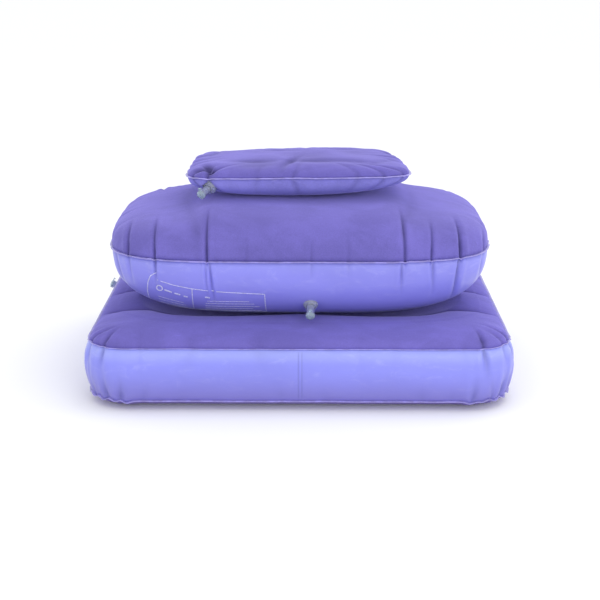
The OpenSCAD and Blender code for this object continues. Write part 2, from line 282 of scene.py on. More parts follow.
def smooth_step(low, high, value):
    """0 below low, 1 above high, and 3t^2 - 2t^3 between."""
    t = np.clip((value - low) / (high - low), 0, 1)
    return t * t * (3 - 2 * t)


def superellipse(a, b, power, count, dense):
    """count points round a superellipse, from its front middle towards +X, and their arc length. Their steps
    are dense + 1 times shorter near the two front corners, where most folds run in."""
    angle = np.linspace(-math.pi / 2, 1.5 * math.pi, 8193)
    reach = (np.abs(np.cos(angle)) ** power + np.abs(np.sin(angle)) ** power) ** (-1 / power)
    x = a * reach * np.cos(angle)
    y = b * reach * np.sin(angle)
    steps = np.hypot(np.diff(x), np.diff(y))
    travelled = np.concatenate([[0], np.cumsum(steps)])
    near = smooth_step(0.36, 0.44, np.abs(x[1:]) / a) * smooth_step(0.0, 0.2, -y[1:] / b)
    weighted = np.concatenate([[0], np.cumsum(steps * (1 + dense * near))])
    at = np.interp(np.linspace(0, weighted[-1], count, endpoint=False), weighted, travelled)
    return np.interp(at, travelled, x), np.interp(at, travelled, y), at, travelled[-1]


def ripple(position, total, waves, seed):
    """A sum of sines that closes on itself round a seam: whole wave numbers n, seeded phases and heights
    1/sqrt(n), over the root of their count."""
    rng = np.random.default_rng(seed)
    out = np.zeros_like(position)
    for wave in waves:
        out = out + np.sin(2 * math.pi * wave * position / total + rng.uniform(0, 2 * math.pi)) / wave**0.5
    return out / len(waves) ** 0.5


def gathers(position, depth, total, folds):
    """Folds that run in from a seam. Each is a groove -d*exp(-|q/w|^1.3)*exp(-(depth/reach)^2) between two
    soft shoulders, where q is the distance from a line that leaves the seam at p and slants as it goes in."""
    out = np.zeros_like(position)
    for start, slant, reach, deep, wide in folds:
        q = (position - start - slant * depth + total / 2) % total - total / 2
        spread = wide * (1 + 0.6 * depth / reach)
        groove = np.exp(-(np.abs(q / spread) ** 1.3))
        shoulders = np.exp(-(((np.abs(q) - 2.4 * spread) / (1.5 * spread)) ** 2))
        out = out + deep * (0.3 * shoulders - groove) * np.exp(-((depth / reach) ** 2))
    return out


def straight_folds(x, y, depth, marks, half_width, half_depth):
    """Folds that run straight in from the front or the back weld, over the ends of the webs inside. Each is a
    groove -d*exp(-|q/w|^1.5)*exp(-(depth/reach)^3) with q = x - x0 - slant*depth, beside a low shoulder. They
    stop before the cushion's two ends."""
    out = np.zeros_like(depth + x)
    for start, slant, reach, deep, wide, front in marks:
        q = x - start - slant * depth
        groove = np.exp(-(np.abs(q / wide) ** 1.5))
        shoulders = np.exp(-(((np.abs(q) - 2.6 * wide) / (1.8 * wide)) ** 2))
        side = smooth_step(0.45, 0.8, (-y if front else y) / half_depth / (np.abs(x) / half_width + MM))
        out = out + deep * (0.35 * shoulders - groove) * side * np.exp(-((depth / reach) ** 3))
    return out


def seeded_folds(total, start, end, count, seed, reach, deep, wide):
    """Folds spread unevenly along a stretch of seam."""
    rng = np.random.default_rng(seed)
    steps = (np.arange(count) + 0.5 + rng.uniform(-0.35, 0.35, count)) / count
    at = start + (end - start) * steps
    return [
        (
            position % total,
            rng.uniform(-0.3, 0.3),
            reach * rng.uniform(0.6, 1.3),
            deep * rng.uniform(0.4, 1.1),
            wide * rng.uniform(0.8, 1.4),
        )
        for position in at
    ]


def turned(points):
    """Points turned about Z by the slight angle that the cushions stand at."""
    c, s = math.cos(YAW), math.sin(YAW)
    return points @ np.array([[c, s, 0], [-s, c, 0], [0, 0, 1]])


class Chamber:
    """The weld line of a crowned cushion and the skins that leave it above and below."""

    def __init__(self, width, depth, weld, power, count, dense):
        self.a = width / 2
        self.b = depth / 2
        self.weld = weld
        self.x, self.y, self.along, self.total = superellipse(self.a, self.b, power, count, dense)
        tangent_x = np.roll(self.x, -1) - np.roll(self.x, 1)
        tangent_y = np.roll(self.y, -1) - np.roll(self.y, 1)
        size = np.hypot(tangent_x, tangent_y)
        self.out = np.stack([tangent_y / size, -tangent_x / size, 0 * size], axis=-1)
        self.bend = np.zeros_like(self.along)
        self.wave = np.zeros_like(self.along)

    def straight(self, x, y, depth, marks):
        """Straight folds on this chamber."""
        return straight_folds(x, y, depth, marks, self.a, self.b)

    def at_front(self, x):
        """Arc length of the point of the front weld at that x."""
        front = self.y < 0
        order = np.argsort(self.x[front])
        shifted = (self.along[front] + self.total / 2) % self.total - self.total / 2
        return float(np.interp(x, self.x[front][order], shifted[order])) % self.total

    def seam(self):
        """The weld line, moved in at each fold and up and down a little."""
        flat = np.stack([self.x, self.y, np.full_like(self.x, self.weld)], axis=-1)
        moved = flat + self.out * self.bend[:, None]
        moved[:, 2] += self.wave
        return moved

    def skin(self, height, folds, rings=58, extra=None):
        """Rings from the middle to the weld: each is the weld outline shrunk to s, lifted by height(x, y, s),
        then pushed along the normal by the folds. Returns the grid, its depth from the weld and its folds."""
        s = np.sin(np.linspace(0, math.pi / 2, rings + 1))[1:, None]
        x = s * self.x[None, :]
        y = s * self.y[None, :]
        z = self.weld + height(x, y, np.broadcast_to(s, x.shape))
        grid = np.stack([x, y, z], axis=-1)
        steps = np.linalg.norm(np.diff(grid, axis=0), axis=-1)
        depth = np.concatenate([np.cumsum(steps[::-1], axis=0)[::-1], np.zeros((1, x.shape[1]))])
        position = np.broadcast_to(self.along[None, :], x.shape)
        amount = gathers(position, depth, self.total, folds)
        if extra is not None:
            amount = amount + extra(x, y, depth)
        normal = surface_normals(grid, wrap=True)
        if normal[rings // 2, 0, 2] * (z[0, 0] - self.weld) < 0:
            normal = -normal
        near = np.exp(-depth / (5 * MM))[..., None]
        direction = normal * (1 - near) + self.out[None] * near
        direction /= np.linalg.norm(direction, axis=-1, keepdims=True)
        hold = smooth_step(0, 9 * MM, depth)
        grid = grid + direction * (amount * hold)[..., None]
        grid = grid + ((self.seam() - grid[-1]) * np.exp(-((depth / SEAM_PULL_RUN) ** 2))[..., None])
        return grid, depth, amount

    def panel(self, name, grid, depth, amount, upwards, valve=None):
        """A skin's mesh, closed in the middle by a fan, with the weld position and depth as its UVs. It is
        drawn to its valve's collar and opened there."""
        rings, count = depth.shape
        middle = grid[0].mean(axis=0, keepdims=True)
        points = turned(np.concatenate([grid.reshape(-1, 3), middle]))
        quads = grid_quads(rings, count, wrap=True, flip=upwards)
        if valve is not None:
            points = meet_valve(valve, points, 16 * MM)
            quads = valve_hole(valve, points, quads)
        fan = fan_triangles(rings, count)
        fan = fan if upwards else fan[:, ::-1]
        position = np.broadcast_to(self.along[None, :], depth.shape)
        uv = np.stack([position, depth], axis=-1).reshape(-1, 2)
        uv = np.concatenate([uv, [[0, depth.max()]]])
        crease = np.concatenate([fold_shade(amount).reshape(-1), [0]])
        return build_mesh(name, points, quads, fan, uv, crease)

    def weld_band(self, name, thickness, lean=0.0):
        """The pressed edge: a flat rounded band, a flange wide, carried round the weld with a slight frill."""
        frill = ripple(self.along, self.total, [23, 37, 61, 90], 5)[:, None]
        turn, rounded = band_section()
        across = FLANGE * (0.42 + 0.58 * rounded)
        ring = self.seam()[:, None, :] + self.out[:, None, :] * across[None, :, None]
        ring[..., 2] += thickness / 2 * np.sin(turn)[None, :] + (lean + 0.18 * frill) * across[None, :]
        rows, columns = ring.shape[:2]
        uv = np.stack([np.tile(self.along, columns), np.repeat(turn, rows) * MM], axis=-1)
        return closed_band(name, ring, uv)


def fold_shade(amount):
    """How dark a fold is drawn: its depth over the depth of a fully dark one."""
    return np.clip(-amount, 0, None) / FOLD_SHADE_DEPTH


def face_outwards(piece):
    """Recalculates the normals of a closed mesh so that they point out."""
    shape = bmesh.new()
    shape.from_mesh(piece.data)
    bmesh.ops.recalc_face_normals(shape, faces=shape.faces)
    shape.to_mesh(piece.data)
    shape.free()


def band_section():
    """The angles round a weld band's section, and how far across it each lies: sign(cos) * |cos|^0.6."""
    turn = np.linspace(0, 2 * math.pi, 13)[:-1]
    return turn, np.sign(np.cos(turn)) * np.abs(np.cos(turn)) ** 0.6


def closed_band(name, ring, uv=None):
    """A closed band from its sections, one after another round a weld."""
    rows, columns = ring.shape[:2]
    points = turned(ring.transpose(1, 0, 2).reshape(-1, 3))
    piece = build_mesh(name, points, ring_quads(columns, rows), uv=uv)
    face_outwards(piece)
    return piece


# ---------------------------------------------------------------- base pad outline


class PadOutline:
    """The rounded rectangle of the base pad's welds."""

    def __init__(self):
        pad = sizes("pad")
        self.a = pad.width / 2
        self.b = pad.depth / 2
        self.r = pad.corner
        self.straight_x = self.a - self.r
        self.straight_y = self.b - self.r
        self.arc = self.r * math.pi / 2
        self.quarter = self.straight_x + self.arc + self.straight_y
        self.total = 4 * self.quarter

    def at(self, along):
        """Points and outward normals: an inner rectangle's corner plus the radius along a turning normal."""
        quarter_turn = math.pi / 2
        lengths = [
            self.straight_x, self.arc, 2 * self.straight_y, self.arc, 2 * self.straight_x,
            self.arc, 2 * self.straight_y, self.arc, self.straight_x,
        ]
        breaks = np.concatenate([[0], np.cumsum(lengths)])
        heading = np.interp(along, breaks, quarter_turn * np.array([0, 0, 1, 1, 2, 2, 3, 3, 4, 4]))
        corner_x = self.straight_x * np.array([0, 1, 1, 1, 1, -1, -1, -1, -1, 0])
        corner_y = self.straight_y * np.array([-1, -1, -1, 1, 1, 1, 1, -1, -1, -1])
        normal = np.stack([np.sin(heading), -np.cos(heading), 0 * heading], axis=-1)
        centre_x = np.interp(along, breaks, corner_x)
        centre_y = np.interp(along, breaks, corner_y)
        return np.stack([centre_x, centre_y, 0 * along], axis=-1) + self.r * normal, normal

    def depth(self, x, y):
        """Distance inside the outline."""
        qx = np.abs(x) - self.straight_x
        qy = np.abs(y) - self.straight_y
        in_corner = np.hypot(np.clip(qx, 0, None), np.clip(qy, 0, None))
        return self.r - in_corner - np.minimum(np.maximum(qx, qy), 0)

    def along(self, x, y):
        """Arc length of the outline's nearest point, counted from the front middle towards +X."""
        qx = np.abs(x) - self.straight_x
        qy = np.abs(y) - self.straight_y
        in_corner = (qx > 0) & (qy > 0)
        turn = np.arctan2(np.clip(qx, 1e-9, None), np.clip(qy, 1e-9, None))
        on_end = qy > qx
        part = np.where(
            in_corner,
            self.straight_x + self.r * turn,
            np.where(on_end, np.abs(x), self.straight_x + self.arc + self.straight_y - np.abs(y)),
        )
        right = np.where(y < 0, part, 2 * self.quarter - part)
        return np.where(x < 0, self.total - right, right) % self.total

    def half_width(self, y):
        """Half the width of the outline at each y."""
        past = np.clip(np.abs(y) - self.straight_y, 0, None)
        return self.straight_x + np.sqrt(np.clip(self.r**2 - past**2, 0, None))


# Deep folds of the pad's two front corners: place past the corner's start (minus on the left), slant, reach,
# depth and width, in millimetres.
LOWER_CORNER_FOLDS = (
    (2, 0.1, 24, 2.6, 3.0),
    (27, -0.2, 22, 2.4, 2.4),
    (38, 0.2, 26, 3.2, 2.6),
    (54, 0.1, 22, 2.6, 2.4),
    (-8, 0.1, 20, 2.4, 2.6),
    (-24, -0.1, 24, 2.8, 2.6),
    (-46, 0.2, 20, 2.2, 2.4),
)
UPPER_CORNER_FOLDS = (
    (13.5, 0.1, 24, 3.2, 2.4),
    (44, -0.1, 18, 2.0, 2.4),
    (60, 0.3, 26, 4.6, 2.6),
    (70, 0.2, 20, 2.4, 2.2),
    (-27, -0.1, 22, 3.2, 2.4),
    (-53, 0.2, 24, 3.6, 2.6),
)


def pad_folds(outline, upper):
    """Folds along one of the pad's two welds: a few along each side and more round the corners."""
    reach = 26 * MM if upper else 20 * MM
    deep = 0.9 * MM if upper else 1.5 * MM
    folds = []
    for corner in range(4):
        side = outline.straight_x if corner % 2 == 0 else outline.straight_y
        middle = corner * outline.quarter + side + outline.arc / 2
        half = outline.arc * 0.9
        seed = 11 + corner + 10 * upper
        folds += seeded_folds(outline.total, middle - half, middle + half, 5, seed, reach, deep, 4.5 * MM)
    folds += seeded_folds(outline.total, 0, outline.total, 18, 71 + upper, reach, deep * 0.5, 6 * MM)
    corner = outline.straight_x
    for past, slant, far, sunk, wide in UPPER_CORNER_FOLDS if upper else LOWER_CORNER_FOLDS:
        start = corner + past * MM if past > 0 else outline.total - corner + past * MM
        folds.append((start, slant, far * MM, sunk * MM, wide * MM))
    return folds


def pad_weld_line(outline, along, upper):
    """The pad's upper or lower weld line: the outline, pulled in at its folds and waved a little."""
    pad = sizes("pad")
    points, normal = outline.at(along)
    fold = gathers(along, np.zeros_like(along), outline.total, pad_folds(outline, upper))
    points = points + normal * np.clip(fold * 0.7, -1.5 * MM, 0.6 * MM)[:, None]
    wave = ripple(along, outline.total, [9, 14, 22, 35], 3 + upper) * 0.55 * MM
    if not upper:
        from_middle = np.abs((along + outline.total / 2) % outline.total - outline.total / 2)
        past = from_middle - outline.straight_x
        puckered = smooth_step(0, 20 * MM, past) * (1 - smooth_step(70 * MM, 90 * MM, past))
        wave = wave + 1.5 * MM * puckered * np.sin(2 * math.pi * past / (17 * MM))
        wave = wave - 2.6 * MM * np.exp(-((past / (6 * MM)) ** 2))
    points[:, 2] = (pad.upper_weld if upper else pad.lower_weld) + wave
    return points, normal


# ---------------------------------------------------------------- materials


class Level:
    """A number that varies over a surface: a shader socket that takes part in arithmetic."""

    def __init__(self, finish, socket):
        self.finish = finish
        self.socket = socket

    def _math(self, operation, *values, clamp=False):
        settings = {"operation": operation, "use_clamp": clamp}
        made = self.finish.node("ShaderNodeMath", settings, dict(enumerate(values)))
        return Level(self.finish, made.outputs[0])

    def __add__(self, other):
        return self._math("ADD", self, other)

    def __radd__(self, other):
        return self._math("ADD", other, self)

    def __sub__(self, other):
        return self._math("SUBTRACT", self, other)

    def __rsub__(self, other):
        return self._math("SUBTRACT", other, self)

    def __mul__(self, other):
        return self._math("MULTIPLY", self, other)

    def __rmul__(self, other):
        return self._math("MULTIPLY", other, self)

    def clamped(self):
        """Held between 0 and 1."""
        return self._math("ADD", self, 0.0, clamp=True)

    def between(self, low, high):
        """0 below low, 1 above high, smooth between."""
        made = self.finish.node(
            "ShaderNodeMapRange",
            {"interpolation_type": "SMOOTHSTEP"},
            {"Value": self, "From Min": low, "From Max": high, "To Min": 0.0, "To Max": 1.0},
        )
        return Level(self.finish, made.outputs[0])


class Finish:
    """Builds one node material."""

    def __init__(self, name, constants):
        self.material = bpy.data.materials.new(name)
        self.material.use_nodes = True
        self.tree = self.material.node_tree
        self.shader = self.tree.nodes["Principled BSDF"]
        for key, value in constants.items():
            self.shader.inputs[key].default_value = value
        self.coordinates = self.tree.nodes.new("ShaderNodeTexCoord")

    def node(self, kind, settings, values):
        """A node of that kind, with its settings, and with values or links on its sockets."""
        made = self.tree.nodes.new(kind)
        for key, value in settings.items():
            setattr(made, key, value)
        for key, value in values.items():
            self.connect(made.inputs[key], value)
        return made

    def connect(self, socket, value):
        """Links a level or socket, or sets a constant."""
        if isinstance(value, Level):
            self.tree.links.new(value.socket, socket)
        elif isinstance(value, bpy.types.NodeSocket):
            self.tree.links.new(value, socket)
        else:
            socket.default_value = value

    def place(self, scale=(1, 1, 1)):
        """Object coordinates, stretched."""
        values = {"Vector": self.coordinates.outputs["Object"], "Scale": scale}
        return self.node("ShaderNodeMapping", {}, values).outputs[0]

    def noise(self, scale, detail=3.0, rough=0.55, stretch=(1, 1, 1), distortion=0.0):
        """Fractal noise over the piece, about 0.5 in the mean."""
        values = {"Scale": scale, "Detail": detail, "Roughness": rough, "Distortion": distortion}
        made = self.node("ShaderNodeTexNoise", {}, {"Vector": self.place(stretch), **values})
        return Level(self, made.outputs[0])

    def cells(self, scale):
        """Distance to the nearest of many scattered points."""
        made = self.node("ShaderNodeTexVoronoi", {}, {"Vector": self.place(), "Scale": scale})
        return Level(self, made.outputs["Distance"])

    def from_weld(self):
        """Distance from the weld over the skin, in metres, kept as the second UV."""
        made = self.node("ShaderNodeSeparateXYZ", {}, {0: self.coordinates.outputs["UV"]})
        return Level(self, made.outputs["Y"])

    def attribute(self, name):
        """A number stored on the mesh."""
        made = self.node("ShaderNodeAttribute", {"attribute_name": name}, {})
        return Level(self, made.outputs["Fac"])

    def mixed(self, factor, first, second):
        """One colour fading to another."""
        made = self.node("ShaderNodeMix", {"data_type": "RGBA"}, {0: factor, 6: first, 7: second})
        return made.outputs[2]

    def bump(self, height, distance, strength=1.0, under=None):
        """A normal from a height."""
        values = {"Height": height, "Distance": distance, "Strength": strength}
        if under is not None:
            values["Normal"] = under
        return self.node("ShaderNodeBump", {}, values).outputs[0]

    def finish(self, **links):
        """Feeds the shader's sockets and returns the material."""
        for key, value in links.items():
            self.connect(self.shader.inputs[key.replace("_", " ")], value)
        return self.material


def shade(base, factor):
    """A colour times a factor, as a socket value."""
    return (*[min(1.0, part * factor) for part in base], 1.0)


def flocked(name, base):
    """Short nap: a speckle about a millimetre across, brushed patches where the nap lies over, pale scuffs, a
    soft sheen and painted shade in the folds."""
    sheen = {"Sheen Weight": 0.7, "Sheen Roughness": 0.45, "Sheen Tint": (0.46, 0.42, 1.0, 1.0)}
    make = Finish(name, {"Specular IOR Level": 0.15, **sheen})
    speckle = make.noise(950, 2, 0.6)
    fibre = make.noise(2400, 1, 0.5)
    brushed = make.noise(16, 4, 0.6, (1, 1.7, 1), 0.6).between(0.38, 0.66)
    patch = make.noise(5.5, 2, 0.5).between(0.3, 0.7)
    crease = make.attribute("crease").clamped()
    tone = (0.34 * brushed + 0.30 * patch + 0.36 * speckle.between(0.3, 0.7)).clamped()
    colour_value = make.mixed(tone, shade(base, 0.78), shade(base, 1.23))
    scuffs = make.noise(30, 3, 0.6, (1.0, 5.0, 3.0), 1.5).between(0.69, 0.76)
    colour_value = make.mixed(0.22 * scuffs, colour_value, shade(base, 2.2))
    # Painted shade: the folds are drawn darker as far as the crease attribute says.
    colour_value = make.mixed(0.9 * crease, colour_value, shade(base, 0.34))
    height = 0.55 * speckle + 0.3 * fibre + 0.15 * make.cells(1300)
    soft = make.bump(make.noise(75, 3, 0.6), 1.4 * MM, 0.35)
    normal = make.bump(height, 0.5 * MM, 0.6, soft)
    return make.finish(Base_Color=colour_value, Roughness=0.86 + 0.12 * speckle, Normal=normal)


def smooth_vinyl(name, base, gloss=0.36, fade=1.0):
    """Calendered film: faint haze, rubbed dull patches, slight orange peel and shallow stretch marks. By the
    weld it gets a painted pale highlight and, as far as fade says, grows darker and more purple away from it,
    partly its own deeper colour and partly painted shade; its folds get painted shade."""
    coat = {"Coat Weight": 0.12, "Coat Roughness": 0.22}
    make = Finish(name, {"Specular IOR Level": 0.5, "Sheen Weight": 0.08, **coat})
    haze = make.noise(7, 4, 0.6, (1, 1, 1.6)).between(0.3, 0.75)
    rubbed = make.noise(38, 5, 0.7, (1, 1, 2.5), 0.8).between(0.5, 0.78)
    grain = make.noise(420, 3, 0.55)
    crease = make.attribute("crease").clamped()
    colour_value = make.mixed(haze, shade(base, 0.94), shade(base, 1.06))
    colour_value = make.mixed(0.12 * rubbed, colour_value, (0.8, 0.8, 1.0, 1.0))
    # Darker and more purple away from the weld: partly the film's own deeper colour, partly painted shade
    # where the film turns down.
    deeper_and_shaded = make.from_weld().between(16 * MM, 74 * MM)
    shaded_purple = [part * (1 - loss * fade) for part, loss in zip(base, (0.20, 0.34, 0.34))]
    colour_value = make.mixed(deeper_and_shaded, colour_value, (*shaded_purple, 1.0))
    # Painted highlight: a pale bluish band along the weld.
    weld_highlight = 1 - make.from_weld().between(4 * MM, 20 * MM)
    colour_value = make.mixed(0.16 * fade * weld_highlight, colour_value, (0.72, 0.86, 1.0, 1.0))
    # Painted shade: the folds are drawn darker as far as the crease attribute says.
    colour_value = make.mixed(0.7 * crease, colour_value, shade(base, 0.45))
    peel = make.bump(grain, 0.25 * MM, 0.35)
    stretch = make.bump(make.noise(24, 4, 0.55, (1, 1, 0.45), 0.4), 2.2 * MM, 0.22, peel)
    rough = gloss + 0.16 * rubbed + 0.10 * haze
    return make.finish(Base_Color=colour_value, Roughness=rough, Normal=stretch)


def pressed_weld(name, base):
    """Welded edge: film pressed thin and shiny, paler where it is stressed, with a fine press grid."""
    make = Finish(name, {"Specular IOR Level": 0.5, "Coat Weight": 0.2, "Coat Roughness": 0.2})
    pale = make.noise(90, 3, 0.6).between(0.35, 0.7)
    colour_value = make.mixed(pale, shade(base, 0.82), shade(base, 1.18))
    normal = make.bump(make.noise(700, 2, 0.5), 0.3 * MM, 0.4)
    return make.finish(Base_Color=colour_value, Roughness=0.32 + 0.15 * pale, Normal=normal)


def moulded_clear(name, base, through=0.65):
    """Soft clear PVC moulding: milky, with faint flow marks."""
    coat = {"Coat Weight": 0.3, "Coat Roughness": 0.1}
    make = Finish(name, {"Transmission Weight": through, "IOR": 1.5, **coat})
    milk = make.noise(160, 3, 0.5).between(0.3, 0.7)
    colour_value = make.mixed(milk, shade(base, 0.93), shade(base, 1.1))
    normal = make.bump(make.noise(300, 2, 0.5), 0.2 * MM, 0.25)
    return make.finish(Base_Color=colour_value, Roughness=0.16 + 0.12 * milk, Normal=normal)


def printed_ink(name, base):
    """Screen-printed lines, a little worn."""
    make = Finish(name, {"Specular IOR Level": 0.4})
    worn = make.noise(520, 3, 0.6).between(0.42, 0.62)
    colour_value = make.mixed(worn, shade(base, 0.8), shade(base, 1.1))
    return make.finish(Base_Color=colour_value, Roughness=0.45 + 0.1 * worn)


MAKERS = {
    "flock": lambda tint: flocked("Flock", tint),
    "pad_flock": lambda tint: flocked("Pad_flock", tint),
    "pillow_under": lambda tint: flocked("Pillow_underside", tint),
    "vinyl": lambda tint: smooth_vinyl("Vinyl", tint),
    "seat_vinyl": lambda tint: smooth_vinyl("Belly_vinyl", tint, fade=0.25),
    "bottom": lambda tint: smooth_vinyl("Bottom_vinyl", tint, 0.7, 0.0),
    "weld": lambda tint: pressed_weld("Weld", tint),
    "clear": lambda tint: moulded_clear("Clear_PVC", tint),
    "plug": lambda tint: moulded_clear("Plug_PVC", tint, 0.55),
    "ink": lambda tint: printed_ink("Ink", tint),
}


def finish_of(key):
    """The material of that finish, made when it is first asked for."""
    found = finish_of.made.get(key)
    if found is None:
        found = MAKERS[key](tuple(getattr(sizes("colours"), key)))
        finish_of.made[key] = found
    return found


finish_of.made = {}


def paint(piece, key):
    """Gives a piece one material."""
    piece.data.materials.clear()
    piece.data.materials.append(finish_of(key))
    return piece


# ---------------------------------------------------------------- base pad operators


def seat_reach(x, y):
    """0 in the middle of the seat and 1 at its weld."""
    seat = sizes("seat")
    return plan_reach(x, y, seat.width / 2, seat.depth / 2, SEAT_PLAN_POWER)


def seat_underside_height(x, y):
    """Height of the seat's underside over the floor: weld - belly * dome."""
    seat = sizes("seat")
    return seat.weld - seat.belly * dome(np.minimum(seat_reach(x, y), 1), SEAT_BELLY_POWER)


def smooth_lower(first, second):
    """The lower of two heights, blended where they cross: (a + b - sqrt((a - b)^2 + blend^2)) / 2."""
    return 0.5 * (first + second - np.sqrt((first - second) ** 2 + SOFT_BLEND**2))


def pad_top_height(outline, x, y):
    """Weld height plus a crowned channel: (crown - crease * c(y)) * sqrt(1 - (1 - d/run)^2), with d the
    distance in from the weld, held under the hollow that the leaning seat needs."""
    pad = sizes("pad")
    seat = sizes("seat")
    run = 55 * MM
    n = (y + pad.first_crease) / pad.crease_pitch
    f = np.abs(n - np.round(n)) * 2
    in_range = (n > -0.5) & (n < 2.5)
    crease = np.where(in_range, np.clip(1 - f, 0, 1) ** 2, 0)
    d = np.clip(outline.depth(x, y), 0, run)
    rise = np.sqrt(1 - (1 - d / run) ** 2)
    free = pad.upper_weld + FLOCK_FILM + (pad.crown - pad.crease * crease) * rise
    slope = math.tan(seat.lean)
    outwards = (seat_underside_height(x, y) - seat.weld + seat.belly) * slope
    hollow = seat_underside_height(np.abs(x) - outwards, y) - slope * np.abs(x) - ROCK_GAP
    hollow = np.where(seat_reach(x, y) > 0.98, free, hollow)
    pressed = smooth_lower(free, hollow)
    return np.where(hollow > free + 20 * MM, free, pressed), np.maximum(crease * rise, 0)


class CUSHION_OT_pad_top(bpy.types.Operator):
    """Builds the flocked, channelled top of the base pad"""

    bl_idname = "cushion.pad_top"
    bl_label = "Pad Top"

    def execute(self, context):
        pad = sizes("pad")
        outline = PadOutline()
        creases = [k * pad.crease_pitch - pad.first_crease for k in range(3)]
        edges = [-outline.b, *creases, outline.b]
        rows = [
            low + (high - low) * (0.5 - 0.5 * np.cos(np.linspace(0, math.pi, count)))[:-1]
            for low, high, count in zip(edges[:-1], edges[1:], (64, 46, 46, 56))
        ]
        y = np.concatenate([*rows, edges[-1:]])[:, None]
        u = np.sin(np.linspace(-math.pi / 2, math.pi / 2, 201))[None, :]
        x = u * outline.half_width(y)
        y = np.broadcast_to(y, x.shape)
        z, channel = pad_top_height(outline, x, y)
        grid = np.stack([x, y, z], axis=-1)
        depth = np.clip(outline.depth(x, y), 0, None)
        along = outline.along(x, y)
        amount = gathers(along, depth, outline.total, pad_folds(outline, True))
        mild = ripple(x * 3 + y, 1.0, [7, 11, 17], 9) * 0.25 * MM * channel
        lines = np.array(creases)[:, None, None]
        seamed = np.exp(-(np.abs((y[None] - lines) / (2.2 * MM)) ** 1.3)).max(axis=0)
        seamed = seamed * smooth_step(4 * MM, 20 * MM, depth) * (0.8 + 0.2 * np.sin(70 * x))
        mild = mild - 1.3 * MM * seamed
        normal = -surface_normals(grid, wrap=False)
        normal[normal[..., 2] < 0] *= -1
        grid = grid + normal * ((amount * smooth_step(0, 8 * MM, depth) + mild)[..., None])
        seam, _ = pad_weld_line(outline, along.reshape(-1), True)
        seam = seam.reshape(grid.shape)
        plain, _ = outline.at(along.reshape(-1))
        offset = seam - plain.reshape(grid.shape)
        offset[..., 2] -= pad.upper_weld
        grid = grid + offset * np.exp(-((depth / SEAM_PULL_RUN) ** 2))[..., None]
        quads = grid_quads(*depth.shape, wrap=False)
        uv = np.stack([along, depth], axis=-1).reshape(-1, 2)
        # Painted shade: the folds, the valleys between the channels and the pressed seam lines are drawn
        # darker.
        crease = (fold_shade(amount) + 0.4 * channel**3 + 0.6 * seamed).reshape(-1)
        piece = build_mesh("base_top_skin", turned(grid.reshape(-1, 3)), quads, uv=uv, crease=crease)
        paint(solid(piece, FLOCK_FILM), "pad_flock")
        place(piece, "base", "flocked_pvc", "base_top_panel", fill=0.85)
        return {"FINISHED"}


class CUSHION_OT_pad_wall(bpy.types.Operator):
    """Builds the smooth side wall of the base pad with its lap weld"""

    bl_idname = "cushion.pad_wall"
    bl_label = "Pad Wall"

    def execute(self, context):
        pad = sizes("pad")
        outline = PadOutline()
        lap_at = 2 * MM
        lap_columns = lap_at + np.linspace(-9, 9, 33) * MM
        along = np.linspace(0, outline.total, 840, endpoint=False)
        along = np.sort(np.concatenate([along[1:], lap_columns % outline.total]))
        count = len(along)
        lower, normal = pad_weld_line(outline, along, False)
        upper, _ = pad_weld_line(outline, along, True)
        t = np.linspace(0, 1, 47)[:, None]
        half_height = (pad.upper_weld - pad.lower_weld) / 2
        bulge = (node_size("base_side_wall", 0) - pad.width) / 2
        radius = (half_height**2 + bulge**2) / (2 * bulge)
        open_angle = math.asin(half_height / radius)
        angle = (2 * t - 1) * open_angle
        outwards = radius * (np.cos(angle) - math.cos(open_angle)) * (1 + 0.25 * np.sin(angle / open_angle))
        rise = (np.sin(angle) / math.sin(open_angle) + 1) / 2
        points = lower[None] * (1 - rise)[..., None] + upper[None] * rise[..., None]
        points = points + normal[None] * outwards[..., None]
        from_top = radius * (open_angle - angle)
        from_bottom = radius * (open_angle + angle)
        position = np.broadcast_to(along[None], (len(t), count))
        amount = 0
        for distance, upper_fold in ((from_top, True), (from_bottom, False)):
            depth = np.broadcast_to(distance, position.shape)
            amount = amount + gathers(position, depth, outline.total, pad_folds(outline, upper_fold))
        edge = smooth_step(0, 8 * MM, np.minimum(from_top, from_bottom))
        slow = ripple(position, outline.total, [5, 9, 13, 21], 31) * 0.5 * MM
        from_lap = np.abs((position - lap_at + outline.total / 2) % outline.total - outline.total / 2)
        lap_half = pad.lap_width / 2
        lap = (1 - smooth_step(lap_half - 0.5 * MM, lap_half + 0.5 * MM, from_lap)) * 0.35 * MM
        pull = -0.9 * MM * np.exp(-((from_lap / (9 * MM)) ** 2))
        shift = (amount + slow + pull) * edge + lap * edge
        points = turned(points + normal[None] * shift[..., None])
        points = meet_valve("base", points, 20 * MM)
        quads = valve_hole("base", points, grid_quads(len(t), count, wrap=True))
        uv = np.stack([position, np.broadcast_to(from_top, position.shape)], axis=-1).reshape(-1, 2)
        # Painted shade: the folds and the two edges of the lap weld are drawn darker.
        edges = np.exp(-(np.abs((from_lap - lap_half) / (0.9 * MM)) ** 2)) * edge
        crease = (fold_shade(amount) + 0.5 * edges).reshape(-1)
        piece = build_mesh("base_wall_skin", points.reshape(-1, 3), quads, uv=uv, crease=crease)
        paint(solid(piece, VINYL_FILM), "vinyl")
        place(piece, "base", "vinyl", "base_side_wall", "base_wall_lap", fill=0.9)
        return {"FINISHED"}


